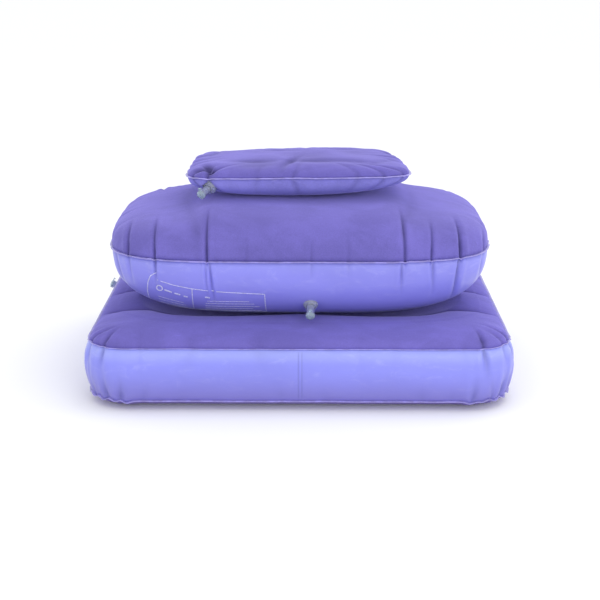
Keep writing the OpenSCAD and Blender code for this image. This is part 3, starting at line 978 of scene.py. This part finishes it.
class CUSHION_OT_pad_bottom(bpy.types.Operator):
    """Builds the bottom film of the base pad, flat on the floor inside a raised rim"""

    bl_idname = "cushion.pad_bottom"
    bl_label = "Pad Bottom"

    def execute(self, context):
        pad = sizes("pad")
        outline = PadOutline()
        count = 560
        along = np.linspace(0, outline.total, count, endpoint=False)
        seam, normal = pad_weld_line(outline, along, False)
        run = 30 * MM
        lift = 0.05 * MM
        t = np.sin(np.linspace(0, math.pi / 2, 16))[:, None]
        radius = (run**2 + pad.lower_weld**2) / (2 * pad.lower_weld)
        drop = radius - np.sqrt(radius**2 - (run * (1 - t)) ** 2)
        level = (seam[:, 2][None] - pad.lower_weld) * (1 - t) + drop * (pad.lower_weld / drop[0])
        rim = seam[None] - normal[None] * (run * t)[..., None]
        rim[..., 2] = np.clip(level, lift, None)
        middle = np.array([[0, 0, lift]])
        inner = rim[-1] * np.array([0.5, 0.5, 1.0])
        grid = np.concatenate([rim, inner[None]])
        quads = grid_quads(len(grid), count, wrap=True)
        fan = fan_triangles(len(grid), count)
        points = turned(np.concatenate([grid.reshape(-1, 3), middle]))
        crease = np.zeros(len(points))
        piece = build_mesh("base_bottom_skin", points, quads[:, ::-1], fan[:, ::-1], crease=crease)
        paint(solid(piece, VINYL_FILM), "bottom")
        place(piece, "base", "bottom_vinyl", "base_bottom_panel")
        return {"FINISHED"}


class CUSHION_OT_pad_welds(bpy.types.Operator):
    """Builds the pressed weld edges round the top and the bottom of the base pad"""

    bl_idname = "cushion.pad_welds"
    bl_label = "Pad Welds"

    def execute(self, context):
        outline = PadOutline()
        along = np.linspace(0, outline.total, 900, endpoint=False)
        turn, rounded = band_section()
        across = FLANGE * (0.35 + 0.62 * rounded)
        for upper, name, lean in ((True, "base_upper_weld", 0.35), (False, "base_lower_weld", -0.2)):
            seam, normal = pad_weld_line(outline, along, upper)
            frill = ripple(along, outline.total, [31, 47, 73], 8 + upper)[:, None]
            ring = seam[:, None] + normal[:, None] * across[None, :, None]
            ring[..., 2] += 0.6 * MM * np.sin(turn)[None] + (lean + 0.15 * frill) * across[None] + 0.2 * MM
            piece = closed_band(name, ring)
            paint(piece, "weld")
            place(piece, "base", "vinyl")
        return {"FINISHED"}


# ---------------------------------------------------------------- seat operators


# Straight folds of the seat: place along X, slant, reach, depth and width in millimetres (slant is a ratio).
FOLDS_ABOVE = (
    (-206.5, 0.00, 50, 2.8, 1.7),
    (-172.3, -0.02, 62, 3.0, 1.6),
    (-109.0, -0.01, 72, 3.2, 1.7),
    (-62.0, 0.00, 30, 0.6, 2.0),
    (15.0, 0.00, 26, 0.9, 1.8),
    (58.5, 0.00, 24, 0.9, 1.8),
    (125.8, -0.02, 88, 2.7, 2.1),
    (157.6, 0.02, 56, 2.7, 1.7),
    (194.0, -0.05, 62, 4.2, 2.2),
    (226.3, -0.03, 46, 3.2, 2.0),
)
FOLDS_BELOW = (
    (-226.5, 0.25, 46, 3.2, 2.0),
    (-206.5, 0.12, 30, 1.5, 1.7),
    (-172.3, 0.00, 30, 2.5, 1.8),
    (-111.0, 0.02, 38, 2.3, 1.3),
    (-106.5, 0.08, 50, 3.0, 1.5),
    (15.0, 0.00, 18, 1.1, 2.0),
    (58.5, 0.00, 16, 0.9, 2.0),
    (122.0, 0.00, 34, 2.5, 1.7),
    (159.5, 0.03, 38, 2.5, 2.0),
    (192.5, -0.10, 56, 3.8, 2.2),
    (225.3, -0.12, 36, 2.7, 2.0),
)


def straight_set(rows, seed):
    """The folds of one seat skin in metres: the front ones, and the same on the back, a little displaced."""
    rng = np.random.default_rng(seed)
    front = [(x * MM, slant, reach * MM, deep * MM, wide * MM, True) for x, slant, reach, deep, wide in rows]
    back = [
        (
            (-x + rng.uniform(-9, 9)) * MM,
            -slant,
            reach * rng.uniform(0.8, 1.2) * MM,
            deep * rng.uniform(0.7, 1.1) * MM,
            wide * MM,
            False,
        )
        for x, slant, reach, deep, wide in rows
    ]
    return front + back


def end_folds(chamber, seed, reach, deep):
    """Folds round the seat's two ends."""
    end = chamber.total / 4
    spread = 85 * MM
    folds = []
    for middle, own_seed in ((end, seed), (3 * end, seed + 1)):
        low, high = middle - spread, middle + spread
        folds += seeded_folds(chamber.total, low, high, 5, own_seed, reach, deep, 3.2 * MM)
    return folds


def seat_chamber():
    """The seat's weld line, pulled in at its folds."""
    seat = sizes("seat")
    chamber = Chamber(seat.width, seat.depth, seat.weld, SEAT_PLAN_POWER, 1100, 2.0)
    none = np.zeros_like(chamber.along)
    pulls = gathers(chamber.along, none, chamber.total, end_folds(chamber, 17, 40 * MM, 2.6 * MM))
    pulls = pulls + chamber.straight(chamber.x, chamber.y, none, straight_set(FOLDS_ABOVE, 29))
    chamber.bend = np.clip(pulls * 0.6, -2.0 * MM, 0.8 * MM)
    chamber.wave = ripple(chamber.along, chamber.total, [7, 11, 19, 31], 12) * 0.7 * MM
    chamber.wave += ripple(chamber.along, chamber.total, [67, 93, 121, 160], 14) * 0.55 * MM + 0.45 * pulls
    return chamber


def lobe_edge(y):
    """Half the width of the middle lobe at each y, a little narrower towards the front and the back."""
    seat = sizes("seat")
    return seat.lobe_half * (0.82 + 0.18 * np.cos(np.clip(np.abs(y) / (seat.depth / 2), 0, 1) * math.pi / 2))


def seat_lobe(x, y):
    """1 on the middle lobe and 0 on the side lobes."""
    return 1 / (1 + np.exp((np.abs(x) - lobe_edge(y)) / (8 * MM)))


def seat_top_height(x, y):
    """Height of the seat's top over the floor: weld + (crown + lobe rise) * dome, less a shallow hollow under
    the pillow, d * exp(-(x/150)^4 - ((y + 30)/88)^4) in millimetres."""
    seat = sizes("seat")
    pressed = 4.5 * MM * np.exp(-((x / (150 * MM)) ** 4) - (((y + 30 * MM) / (88 * MM)) ** 4))
    rise = seat.crown + seat.lobe_rise * seat_lobe(x, y)
    return seat.weld + rise * dome(np.minimum(seat_reach(x, y), 1), SEAT_CROWN_POWER) - pressed


def meet_valve(chamber, points, wide):
    """Draws a skin in or out along the valve's axis so that it passes through the middle of the collar."""
    origin, _, _, axis, _ = valve_axes(chamber)
    apart = points - origin
    gap = np.linalg.norm(apart, axis=-1)
    nearest = np.unravel_index(gap.argmin(), gap.shape)
    level = (apart[nearest] * axis).sum()
    return points - (level * np.exp(-((gap / wide) ** 2)))[..., None] * axis


def valve_hole(chamber, points, quads):
    """The quads of a skin without those inside the valve's collar."""
    origin, _, _, axis, _ = valve_axes(chamber)
    middle = points.reshape(-1, 3)[quads].mean(axis=1) - origin
    height = (middle * axis).sum(axis=-1)
    radius = np.linalg.norm(middle - height[:, None] * axis, axis=-1)
    return quads[(radius > COLLAR_HOLE) | (np.abs(height) > 9 * MM)]


def valve_swell(chamber, x, y, z, height, wide):
    """A soft swelling of the film round a valve: height * exp(-(distance/wide)^2)."""
    origin = valve_axes(chamber)[0]
    gap = np.sqrt((x - origin[0]) ** 2 + (y - origin[1]) ** 2 + (z - origin[2]) ** 2)
    return height * np.exp(-((gap / wide) ** 2))


class CUSHION_OT_seat(bpy.types.Operator):
    """Builds the seat: flocked top with a raised middle lobe, smooth underside, weld and inner webs"""

    bl_idname = "cushion.seat"
    bl_label = "Seat"

    def execute(self, context):
        seat = sizes("seat")
        chamber = seat_chamber()
        above = straight_set(FOLDS_ABOVE, 29)
        below = straight_set(FOLDS_BELOW, 31)

        def top(x, y, s):
            return seat_top_height(x, y) - seat.weld

        def top_folds(x, y, depth):
            groove = np.exp(-(np.abs((np.abs(x) - lobe_edge(y) - 4 * MM) / (9 * MM)) ** 1.4))
            sink = -1.4 * MM * groove * smooth_step(8 * MM, 40 * MM, depth)
            long_wave = np.sin(46 * x + 1.1) * np.sin(31 * y + 8 * x) * smooth_step(10 * MM, 60 * MM, depth)
            return sink + 0.5 * MM * long_wave + chamber.straight(x, y, depth, above)

        def underside(x, y, s):
            return -seat.belly * dome(s, SEAT_BELLY_POWER)

        def under_folds(x, y, depth):
            z = seat_underside_height(x, y)
            swell = valve_swell("seat", x, y, z, 1.6 * MM, 22 * MM)
            pinch = valve_swell("seat", x, y, z, 1.4 * MM, 12 * MM)
            return chamber.straight(x, y, depth, below) + swell - pinch

        grid, depth, amount = chamber.skin(top, end_folds(chamber, 17, 40 * MM, 2.6 * MM), extra=top_folds)
        piece = chamber.panel("seat_top_skin", grid, depth, amount, upwards=True)
        paint(solid(piece, FLOCK_FILM), "flock")
        place(piece, "seat", "flocked_pvc", "seat_top_panel", fill=0.9)
        ends = end_folds(chamber, 17, 50 * MM, 2.4 * MM)
        grid, depth, amount = chamber.skin(underside, ends, extra=under_folds)
        piece = chamber.panel("seat_underside_skin", grid, depth, amount, upwards=False, valve="seat")
        paint(solid(piece, VINYL_FILM), "seat_vinyl")
        place(piece, "seat", "vinyl", "seat_bottom_panel", fill=0.9)
        print_on_seat(grid)
        band = chamber.weld_band("seat_weld", 1.3 * MM, lean=-0.1)
        paint(band, "weld")
        place(band, "seat", "vinyl")
        for side, name in ((-1, "left"), (1, "right")):
            seat_web(side, name)
        return {"FINISHED"}


def seat_web(side, name):
    """A web inside the seat: a strip at the middle lobe's edge, from close over the underside to close under
    the top."""
    seat = sizes("seat")
    rows, columns = 25, 81
    y = np.linspace(-1, 1, columns)[None, :] * (seat.depth / 2 - 36 * MM)
    x = side * lobe_edge(y)
    low = seat_underside_height(x, y) + 2.5 * MM
    high = seat_top_height(x, y) - 4.5 * MM
    z = low + (high - low) * np.linspace(0, 1, rows)[:, None]
    points = np.stack([np.broadcast_to(x, z.shape), np.broadcast_to(y, z.shape), z], axis=-1).reshape(-1, 3)
    quads = grid_quads(rows, columns, wrap=False)
    piece = build_mesh("seat_" + name + "_web", points, quads, crease=np.zeros(len(points)))
    paint(solid(piece, VINYL_FILM), "vinyl")
    place(piece, "seat", "vinyl", "seat_web_" + name)


def seat_front_point(x, drop):
    """The point of the seat's front underside at x, drop below the weld: s is the ring that lies at that
    height, and y = -b * (s^p - |x/a|^p)^(1/p)."""
    seat = sizes("seat")
    s = (1 - (drop / seat.belly) ** SEAT_BELLY_POWER) ** (1 / SEAT_BELLY_POWER)
    inside = s**SEAT_PLAN_POWER - np.abs(x / (seat.width / 2)) ** SEAT_PLAN_POWER
    y = -seat.depth / 2 * np.clip(inside, 0, None) ** (1 / SEAT_PLAN_POWER)
    return np.stack([x, y, seat.weld - drop], axis=-1)


def laid(points, grid, lift):
    """Points moved along the normal onto a skin's grid, lift above it."""
    normal = surface_normals(grid, wrap=True).reshape(-1, 3)
    flat = grid.reshape(-1, 3)
    apart = ((points[:, None, :] - flat[None, :, :]) ** 2).sum(axis=-1)
    nearest = apart.argmin(axis=1)
    n = normal[nearest]
    n = np.where((n[:, 1:2] > 0) & (n[:, 2:3] > -0.9), -n, n)
    n = np.where(n[:, 2:3] > 0, -n, n)
    level = ((points - flat[nearest]) * n).sum(axis=1, keepdims=True)
    return points - n * level + n * lift


# Printed lines on the seat's underside, as runs of (x, drop below the weld) in millimetres, and line widths.
PRINT_FRAME = (
    (((-171.5, 17), (-178, 21), (-182, 30), (-184, 44), (-184, 57), (-182, 65), (-179, 70)), 1.0),
    (((-170, 26), (-150, 31.5), (-128, 35.4), (-90, 39), (-41, 41.5)), 1.0),
    (((-128, 35.4), (-128.5, 55), (-129, 71)), 1.0),
    (((-41, 41.5), (-40.6, 60), (-40, 72)), 1.0),
    (((-179, 70), (-129, 71), (-40, 72)), 1.0),
)
PRINT_BARS = (
    (((-162, 39), (-153, 42)), 2.0),
    (((-150, 43), (-143, 45)), 2.0),
    (((-139, 46.5), (-134, 48)), 2.0),
    (((-171, 50), (-140, 58)), 0.7),
    (((-171, 55), (-138, 63)), 0.7),
    (((-170, 61), (-137, 68)), 0.7),
    (((-113, 47), (-107, 47.5)), 2.0),
    (((-111, 53), (-60, 53)), 0.8),
    (((-113, 57), (-54, 57)), 0.8),
    (((-114, 61.5), (-48, 61.5)), 0.8),
    (((-114, 66), (-56, 66)), 0.8),
    (((-119, 70.5), (-46, 70.5)), 0.8),
)


def print_on_seat(grid):
    """Lays the printed frame, a ring and plain bars on the underside as thin ribbons: each runs evenly along
    its line, half its width to either side of it."""
    front = np.ascontiguousarray(grid[8:, grid[-1, :, 1] < 0])
    film = 0.15 * MM
    runs = [(np.array(line, dtype=float), width, 26) for line, width in PRINT_FRAME + PRINT_BARS]
    turn = np.linspace(0, 2 * math.pi, 33)
    ring = np.stack([-168 + 3.6 * np.cos(turn), 37 + 3.6 * np.sin(turn)], axis=-1)
    runs.append((ring, 1.5, len(turn)))
    points = []
    quads = []
    start = 0
    for line, width, count in runs:
        travelled = np.concatenate([[0], np.cumsum(np.hypot(*np.diff(line, axis=0).T))])
        at = np.linspace(0, travelled[-1], count)
        x = np.interp(at, travelled, line[:, 0])
        drop = np.interp(at, travelled, line[:, 1])
        along_x = np.gradient(x)
        along_drop = np.gradient(drop)
        size = np.hypot(along_x, along_drop)
        side_x = along_drop / size * width / 2
        side_drop = -along_x / size * width / 2
        first = seat_front_point((x + side_x) * MM, np.clip(drop + side_drop, 0, 88) * MM)
        second = seat_front_point((x - side_x) * MM, np.clip(drop - side_drop, 0, 88) * MM)
        points.append(np.concatenate([first, second]))
        row = np.arange(count - 1)
        quads.append(start + np.stack([row, row + 1, row + 1 + count, row + count], axis=-1))
        start += 2 * count
    on_skin = laid(np.concatenate(points), front, film)
    piece = build_mesh("seat_print", turned(on_skin), np.concatenate(quads))
    paint(solid(piece, film, offset=0), "ink")
    place(piece, "seat", "vinyl")


# ---------------------------------------------------------------- pillow operator


# Dents of the slack pillow: middle x and y, turn in radians, two half sizes and depth, in millimetres.
DENTS = (
    (-113, -60, 0.35, 4.5, 14, 7.5),
    (-124, -62, 1.30, 5.0, 15, 3.0),
    (-103, -50, 0.2, 8.0, 16, -1.6),
    (-12, -45, -0.35, 6.0, 26, 3.2),
    (22, -44, 1.45, 10, 30, 2.6),
    (70, -48, 1.35, 8.0, 28, 1.4),
    (104, -40, -0.6, 7.0, 22, 1.6),
    (-58, -38, 1.5, 9.0, 30, 1.6),
    (-30, 34, 1.2, 9.0, 32, 1.8),
    (52, 40, -1.3, 9.0, 30, 1.8),
    (118, 30, 0.5, 7.0, 20, 2.2),
    (-110, 36, -0.4, 8.0, 24, 2.0),
)
# Folds of the pillow's front weld: place along X, slant, reach, depth and width, in millimetres.
PILLOW_FOLDS = (
    (-132, 0.3, 22, 2.6, 3.0),
    (-113, 0.1, 26, 3.4, 3.2),
    (-52, -0.2, 30, 0.9, 5),
    (-8, 0.3, 34, 1.5, 4),
    (72, -0.3, 28, 1.1, 4),
    (104, -0.4, 26, 1.8, 3.4),
    (128, -0.6, 26, 2.2, 3.2),
)


def pillow_dents(x, y):
    """Where the slack pillow has sunk: rounded pits -d*exp(-(u/a)^2 - (v/b)^2) on turned axes u and v."""
    out = np.zeros_like(x)
    for cx, cy, turn, a, b, deep in DENTS:
        dx = x - cx * MM
        dy = y - cy * MM
        u = dx * math.cos(turn) + dy * math.sin(turn)
        v = dy * math.cos(turn) - dx * math.sin(turn)
        out = out - deep * MM * np.exp(-((u / (a * MM)) ** 2) - (v / (b * MM)) ** 2)
    return out


class CUSHION_OT_pillow(bpy.types.Operator):
    """Builds the pillow: two flocked skins, slack enough to crumple, and their weld"""

    bl_idname = "cushion.pillow"
    bl_label = "Pillow"

    def execute(self, context):
        pillow = sizes("pillow")
        chamber = Chamber(pillow.width, pillow.depth, pillow.weld, PILLOW_PLAN_POWER, 700, 0.6)
        back = (chamber.y / chamber.b + 1) / 2
        chamber.x = chamber.x * (1 - np.where(chamber.x > 0, 0.15, 0.03) * back)
        folds = [
            (chamber.at_front(x * MM), slant, reach * MM, deep * MM, wide * MM)
            for x, slant, reach, deep, wide in PILLOW_FOLDS
        ]
        free_from = 160 * MM
        folds += seeded_folds(
            chamber.total, free_from, chamber.total - free_from, 18, 23, 28 * MM, 2.4 * MM, 3.4 * MM
        )
        pulls = gathers(chamber.along, np.zeros_like(chamber.along), chamber.total, folds)
        chamber.bend = np.clip(pulls * 0.7, -2 * MM, 0.8 * MM)
        slope = 0.012
        chamber.wave = ripple(chamber.along, chamber.total, [4, 7, 11, 19], 6) * 0.8 * MM + 0.3 * pulls
        chamber.wave += ripple(chamber.along, chamber.total, [41, 57, 83], 16) * 0.35 * MM + slope * chamber.x

        def top(x, y, s):
            swell = 1.8 * MM * np.exp(-(((x - 28 * MM) / (58 * MM)) ** 2)) * dome(s, 2)
            return (pillow.crown + 1.5 * MM) * dome(s, PILLOW_CROWN_POWER) + slope * x + swell

        def slack(x, y, depth):
            soft = smooth_step(6 * MM, 30 * MM, depth)
            waves = np.sin(38 * x + 12 * y + 1.3) * 0.6 + np.sin(71 * x - 33 * y + 0.4) * 0.35
            waves = waves + np.sin(24 * x + 55 * y + 2.2) * 0.45
            dents = pillow_dents(x, y) * smooth_step(0, 8 * MM, depth)
            return -1.3 * MM * np.abs(waves) ** 1.4 * soft + dents

        def underside(x, y, s):
            rising = np.abs(x / chamber.a) ** 2.2 * np.where(x > 0, 0.55, 0.32)
            free = -(pillow.belly + 2 * MM) * (1 - rising) * dome(s, PILLOW_BELLY_POWER) + slope * x
            rest = seat_top_height(x, y) + 0.9 * MM - pillow.weld
            return -smooth_lower(-free, -rest)

        grid, depth, amount = chamber.skin(top, folds, extra=slack)
        piece = chamber.panel("pillow_top_skin", grid, depth, amount, upwards=True)
        paint(solid(piece, FLOCK_FILM), "flock")
        place(piece, "pillow", "flocked_pvc", "pillow_top_panel", fill=0.6)
        grid, depth, amount = chamber.skin(underside, folds)
        grid[..., 2] = np.maximum(grid[..., 2], seat_top_height(grid[..., 0], grid[..., 1]) + 0.7 * MM)
        piece = chamber.panel("pillow_underside_skin", grid, depth, amount, upwards=False, valve="pillow")
        # The underside's nap is painted paler than the flock, standing in for light on it.
        paint(solid(piece, FLOCK_FILM), "pillow_under")
        place(piece, "pillow", "flocked_pvc", "pillow_bottom_panel", fill=0.6)
        band = chamber.weld_band("pillow_weld", 1.5 * MM, lean=-0.05)
        paint(band, "weld")
        place(band, "pillow", "vinyl")
        return {"FINISHED"}


# ---------------------------------------------------------------- valves


def valve_axes(chamber):
    """Point on the film, axes x, y and outward n of a valve, and how far its stem stands pushed in, from its
    flap hinge and its push joint."""
    hinge = JOINTS[chamber + "_valve_flap_swing"]
    push = JOINTS[chamber + "_valve_push"]
    n = -np.array(push["axis"], dtype=float)
    y = -np.array(hinge["axis"], dtype=float)
    x = np.cross(y, n)
    pushed = -push["range_m"][0]
    origin = np.array(hinge["pos_m"], dtype=float) - x * 5 * MM + n * (4.3 * MM + pushed)
    return origin, x, y, n, pushed


def lathe(name, chamber, profile, moves, count=56):
    """A closed profile of (radius, height) points in millimetres, carried round a valve's axis; moves is set
    for a part that goes in and out with the stem."""
    origin, x, y, n, pushed = valve_axes(chamber)
    if moves:
        origin = origin - n * pushed
    turn = np.linspace(0, 2 * math.pi, count, endpoint=False)
    profile = np.array(profile, dtype=float) * MM
    spin = np.cos(turn)[:, None] * x[None] + np.sin(turn)[:, None] * y[None]
    grid = origin + profile[:, None, :1] * spin[None] + profile[:, None, 1:] * n[None, None]
    piece = build_mesh(name, grid.reshape(-1, 3), ring_quads(len(profile), count))
    face_outwards(piece)
    return piece


# Profiles of the turned valve parts: radius, and height over the film, in millimetres.
COLLAR_PROFILE = (
    (5.3, -2.3), (6.2, -2.5), (8.7, -2.5), (9.0, -2.2), (9.0, 0.6), (8.8, 1.4), (8.2, 2.1),
    (7.5, 2.7), (7.0, 3.6), (6.8, 4.6), (6.7, 5.2), (6.3, 5.5), (5.6, 5.5), (5.3, 5.2),
)
STEM_PROFILE = (
    (3.25, -4.0), (4.7, -4.0), (5.0, -3.7), (5.0, 7.6), (4.8, 8.0), (4.8, 8.5), (5.0, 8.9), (5.0, 17.4),
    (5.2, 17.8), (5.45, 18.0), (5.5, 18.4), (5.4, 18.8), (5.1, 19.0), (3.6, 19.0), (3.25, 18.7),
    (3.25, 12.0), (3.25, 4.0),
)
PLUG_PROFILE = (
    (0.02, 12.0), (2.3, 12.0), (2.8, 12.4), (2.95, 13.0), (2.95, 19.2), (3.2, 19.3), (5.2, 19.3),
    (5.5, 19.6), (5.5, 20.6), (5.2, 21.2), (4.4, 21.45), (3.1, 21.5), (2.9, 22.0), (2.5, 22.3),
    (0.02, 22.35),
)


class CUSHION_OT_valves(bpy.types.Operator):
    """Builds the collar, stem and plug of the three air valves and paints their check flaps and pull tabs"""

    bl_idname = "cushion.valves"
    bl_label = "Valves"

    def execute(self, context):
        for chamber in ("base", "seat", "pillow"):
            collar = lathe(chamber + "_collar", chamber, COLLAR_PROFILE, moves=False)
            paint(collar, "clear")
            place(collar, chamber, "clear_pvc", chamber + "_valve_collar")
            stem = lathe(chamber + "_stem", chamber, STEM_PROFILE, moves=True)
            paint(stem, "clear")
            place(stem, chamber + "_valve_stem", "clear_pvc", chamber + "_valve_stem")
            plug = lathe(chamber + "_plug", chamber, PLUG_PROFILE, moves=True)
            paint(plug, "plug")
            place(plug, chamber + "_valve_plug", "plug_pvc", chamber + "_valve_plug")
            for part, key in (("_valve_flap", "clear"), ("_valve_pull_tab", "plug")):
                paint(frame["nodes"][chamber + part], key)
        return {"FINISHED"}


class CUSHION_OT_inner_parts(bpy.types.Operator):
    """Gives the baffles and webs inside the chambers their film"""

    bl_idname = "cushion.inner_parts"
    bl_label = "Inner Parts"

    def execute(self, context):
        for node, piece in frame["nodes"].items():
            if "baffle" in node or "web" in node:
                paint(piece, "vinyl")
        return {"FINISHED"}


# ---------------------------------------------------------------- stage


class CUSHION_OT_stage(bpy.types.Operator):
    """Sets the floor, the studio light and the camera"""

    bl_idname = "cushion.stage"
    bl_label = "Stage"

    def execute(self, context):
        scene = context.scene
        half = 30.0
        corners = half * np.array([[-1, -1, 0], [1, -1, 0], [1, 1, 0], [-1, 1, 0]])
        floor = build_mesh("floor", corners, np.array([[0, 1, 2, 3]]))
        make = Finish("Floor", {"Roughness": 0.9, "Specular IOR Level": 0.1})
        make.shader.inputs["Base Color"].default_value = (0.91, 0.91, 0.91, 1)
        make.shader.inputs["Emission Color"].default_value = (1, 1, 1, 1)
        make.shader.inputs["Emission Strength"].default_value = 0.04
        floor.data.materials.append(make.material)
        world = bpy.data.worlds.new("Studio")
        scene.world = world
        world.use_nodes = True
        sky = world.node_tree.nodes["Background"]
        sky.inputs["Color"].default_value = (0.97, 0.98, 1.0, 1)
        sky.inputs["Strength"].default_value = 1.08
        aim = Vector((0, 0, 0.12))
        for name, where, size, power in (
            ("key", (0.9, 0.3, 2.0), 1.5, 8),
            ("fill", (1.1, -1.9, 0.8), 1.4, 8),
        ):
            light = bpy.data.lights.new(name, "AREA")
            light.size = size
            light.energy = power
            lamp = bpy.data.objects.new(name, light)
            lamp.location = where
            lamp.rotation_euler = (aim - Vector(where)).to_track_quat("-Z", "Y").to_euler()
            scene.collection.objects.link(lamp)
        camera = bpy.data.cameras.new("camera")
        camera.sensor_width = 36
        camera.lens = 78
        eye = bpy.data.objects.new("camera", camera)
        pitch = math.radians(16.3)
        yaw = math.radians(-1.3)
        distance = 1.715
        looked_at = Vector((0, 0, 0.0782))
        ahead = Vector((math.sin(yaw) * math.cos(pitch), math.cos(yaw) * math.cos(pitch), -math.sin(pitch)))
        eye.location = looked_at - ahead * distance
        eye.rotation_euler = ahead.to_track_quat("-Z", "Y").to_euler()
        scene.collection.objects.link(eye)
        scene.camera = eye
        scene.view_settings.view_transform = "Standard"
        return {"FINISHED"}


class CUSHION_PT_panel(bpy.types.Panel):
    """Lists the cushion's pieces"""

    bl_label = "Wobble Cushion"
    bl_idname = "CUSHION_PT_panel"
    bl_space_type = "VIEW_3D"
    bl_region_type = "UI"
    bl_category = "Cushion"

    def draw(self, context):
        for operator in OPERATORS:
            self.layout.operator(operator.bl_idname)


OPERATORS = (
    CUSHION_OT_stage,
    CUSHION_OT_pad_top,
    CUSHION_OT_pad_wall,
    CUSHION_OT_pad_bottom,
    CUSHION_OT_pad_welds,
    CUSHION_OT_seat,
    CUSHION_OT_pillow,
    CUSHION_OT_valves,
    CUSHION_OT_inner_parts,
)
GROUPS = {"pad": PadSizes, "seat": SeatSizes, "pillow": PillowSizes, "colours": FinishColours}


def register():
    """Registers the property groups, the operators and the panel."""
    for name, group in GROUPS.items():
        bpy.utils.register_class(group)
        setattr(bpy.types.Scene, "cushion_" + name, bpy.props.PointerProperty(type=group))
    for operator in OPERATORS:
        bpy.utils.register_class(operator)
    bpy.utils.register_class(CUSHION_PT_panel)


def unregister():
    """Removes what register added."""
    bpy.utils.unregister_class(CUSHION_PT_panel)
    for operator in reversed(OPERATORS):
        bpy.utils.unregister_class(operator)
    for name, group in GROUPS.items():
        delattr(bpy.types.Scene, "cushion_" + name)
        bpy.utils.unregister_class(group)


def main():
    """Builds every piece."""
    register()
    for operator in OPERATORS:
        category, name = operator.bl_idname.split(".")
        getattr(getattr(bpy.ops, category), name)()


if __name__ == "__main__":
    main()
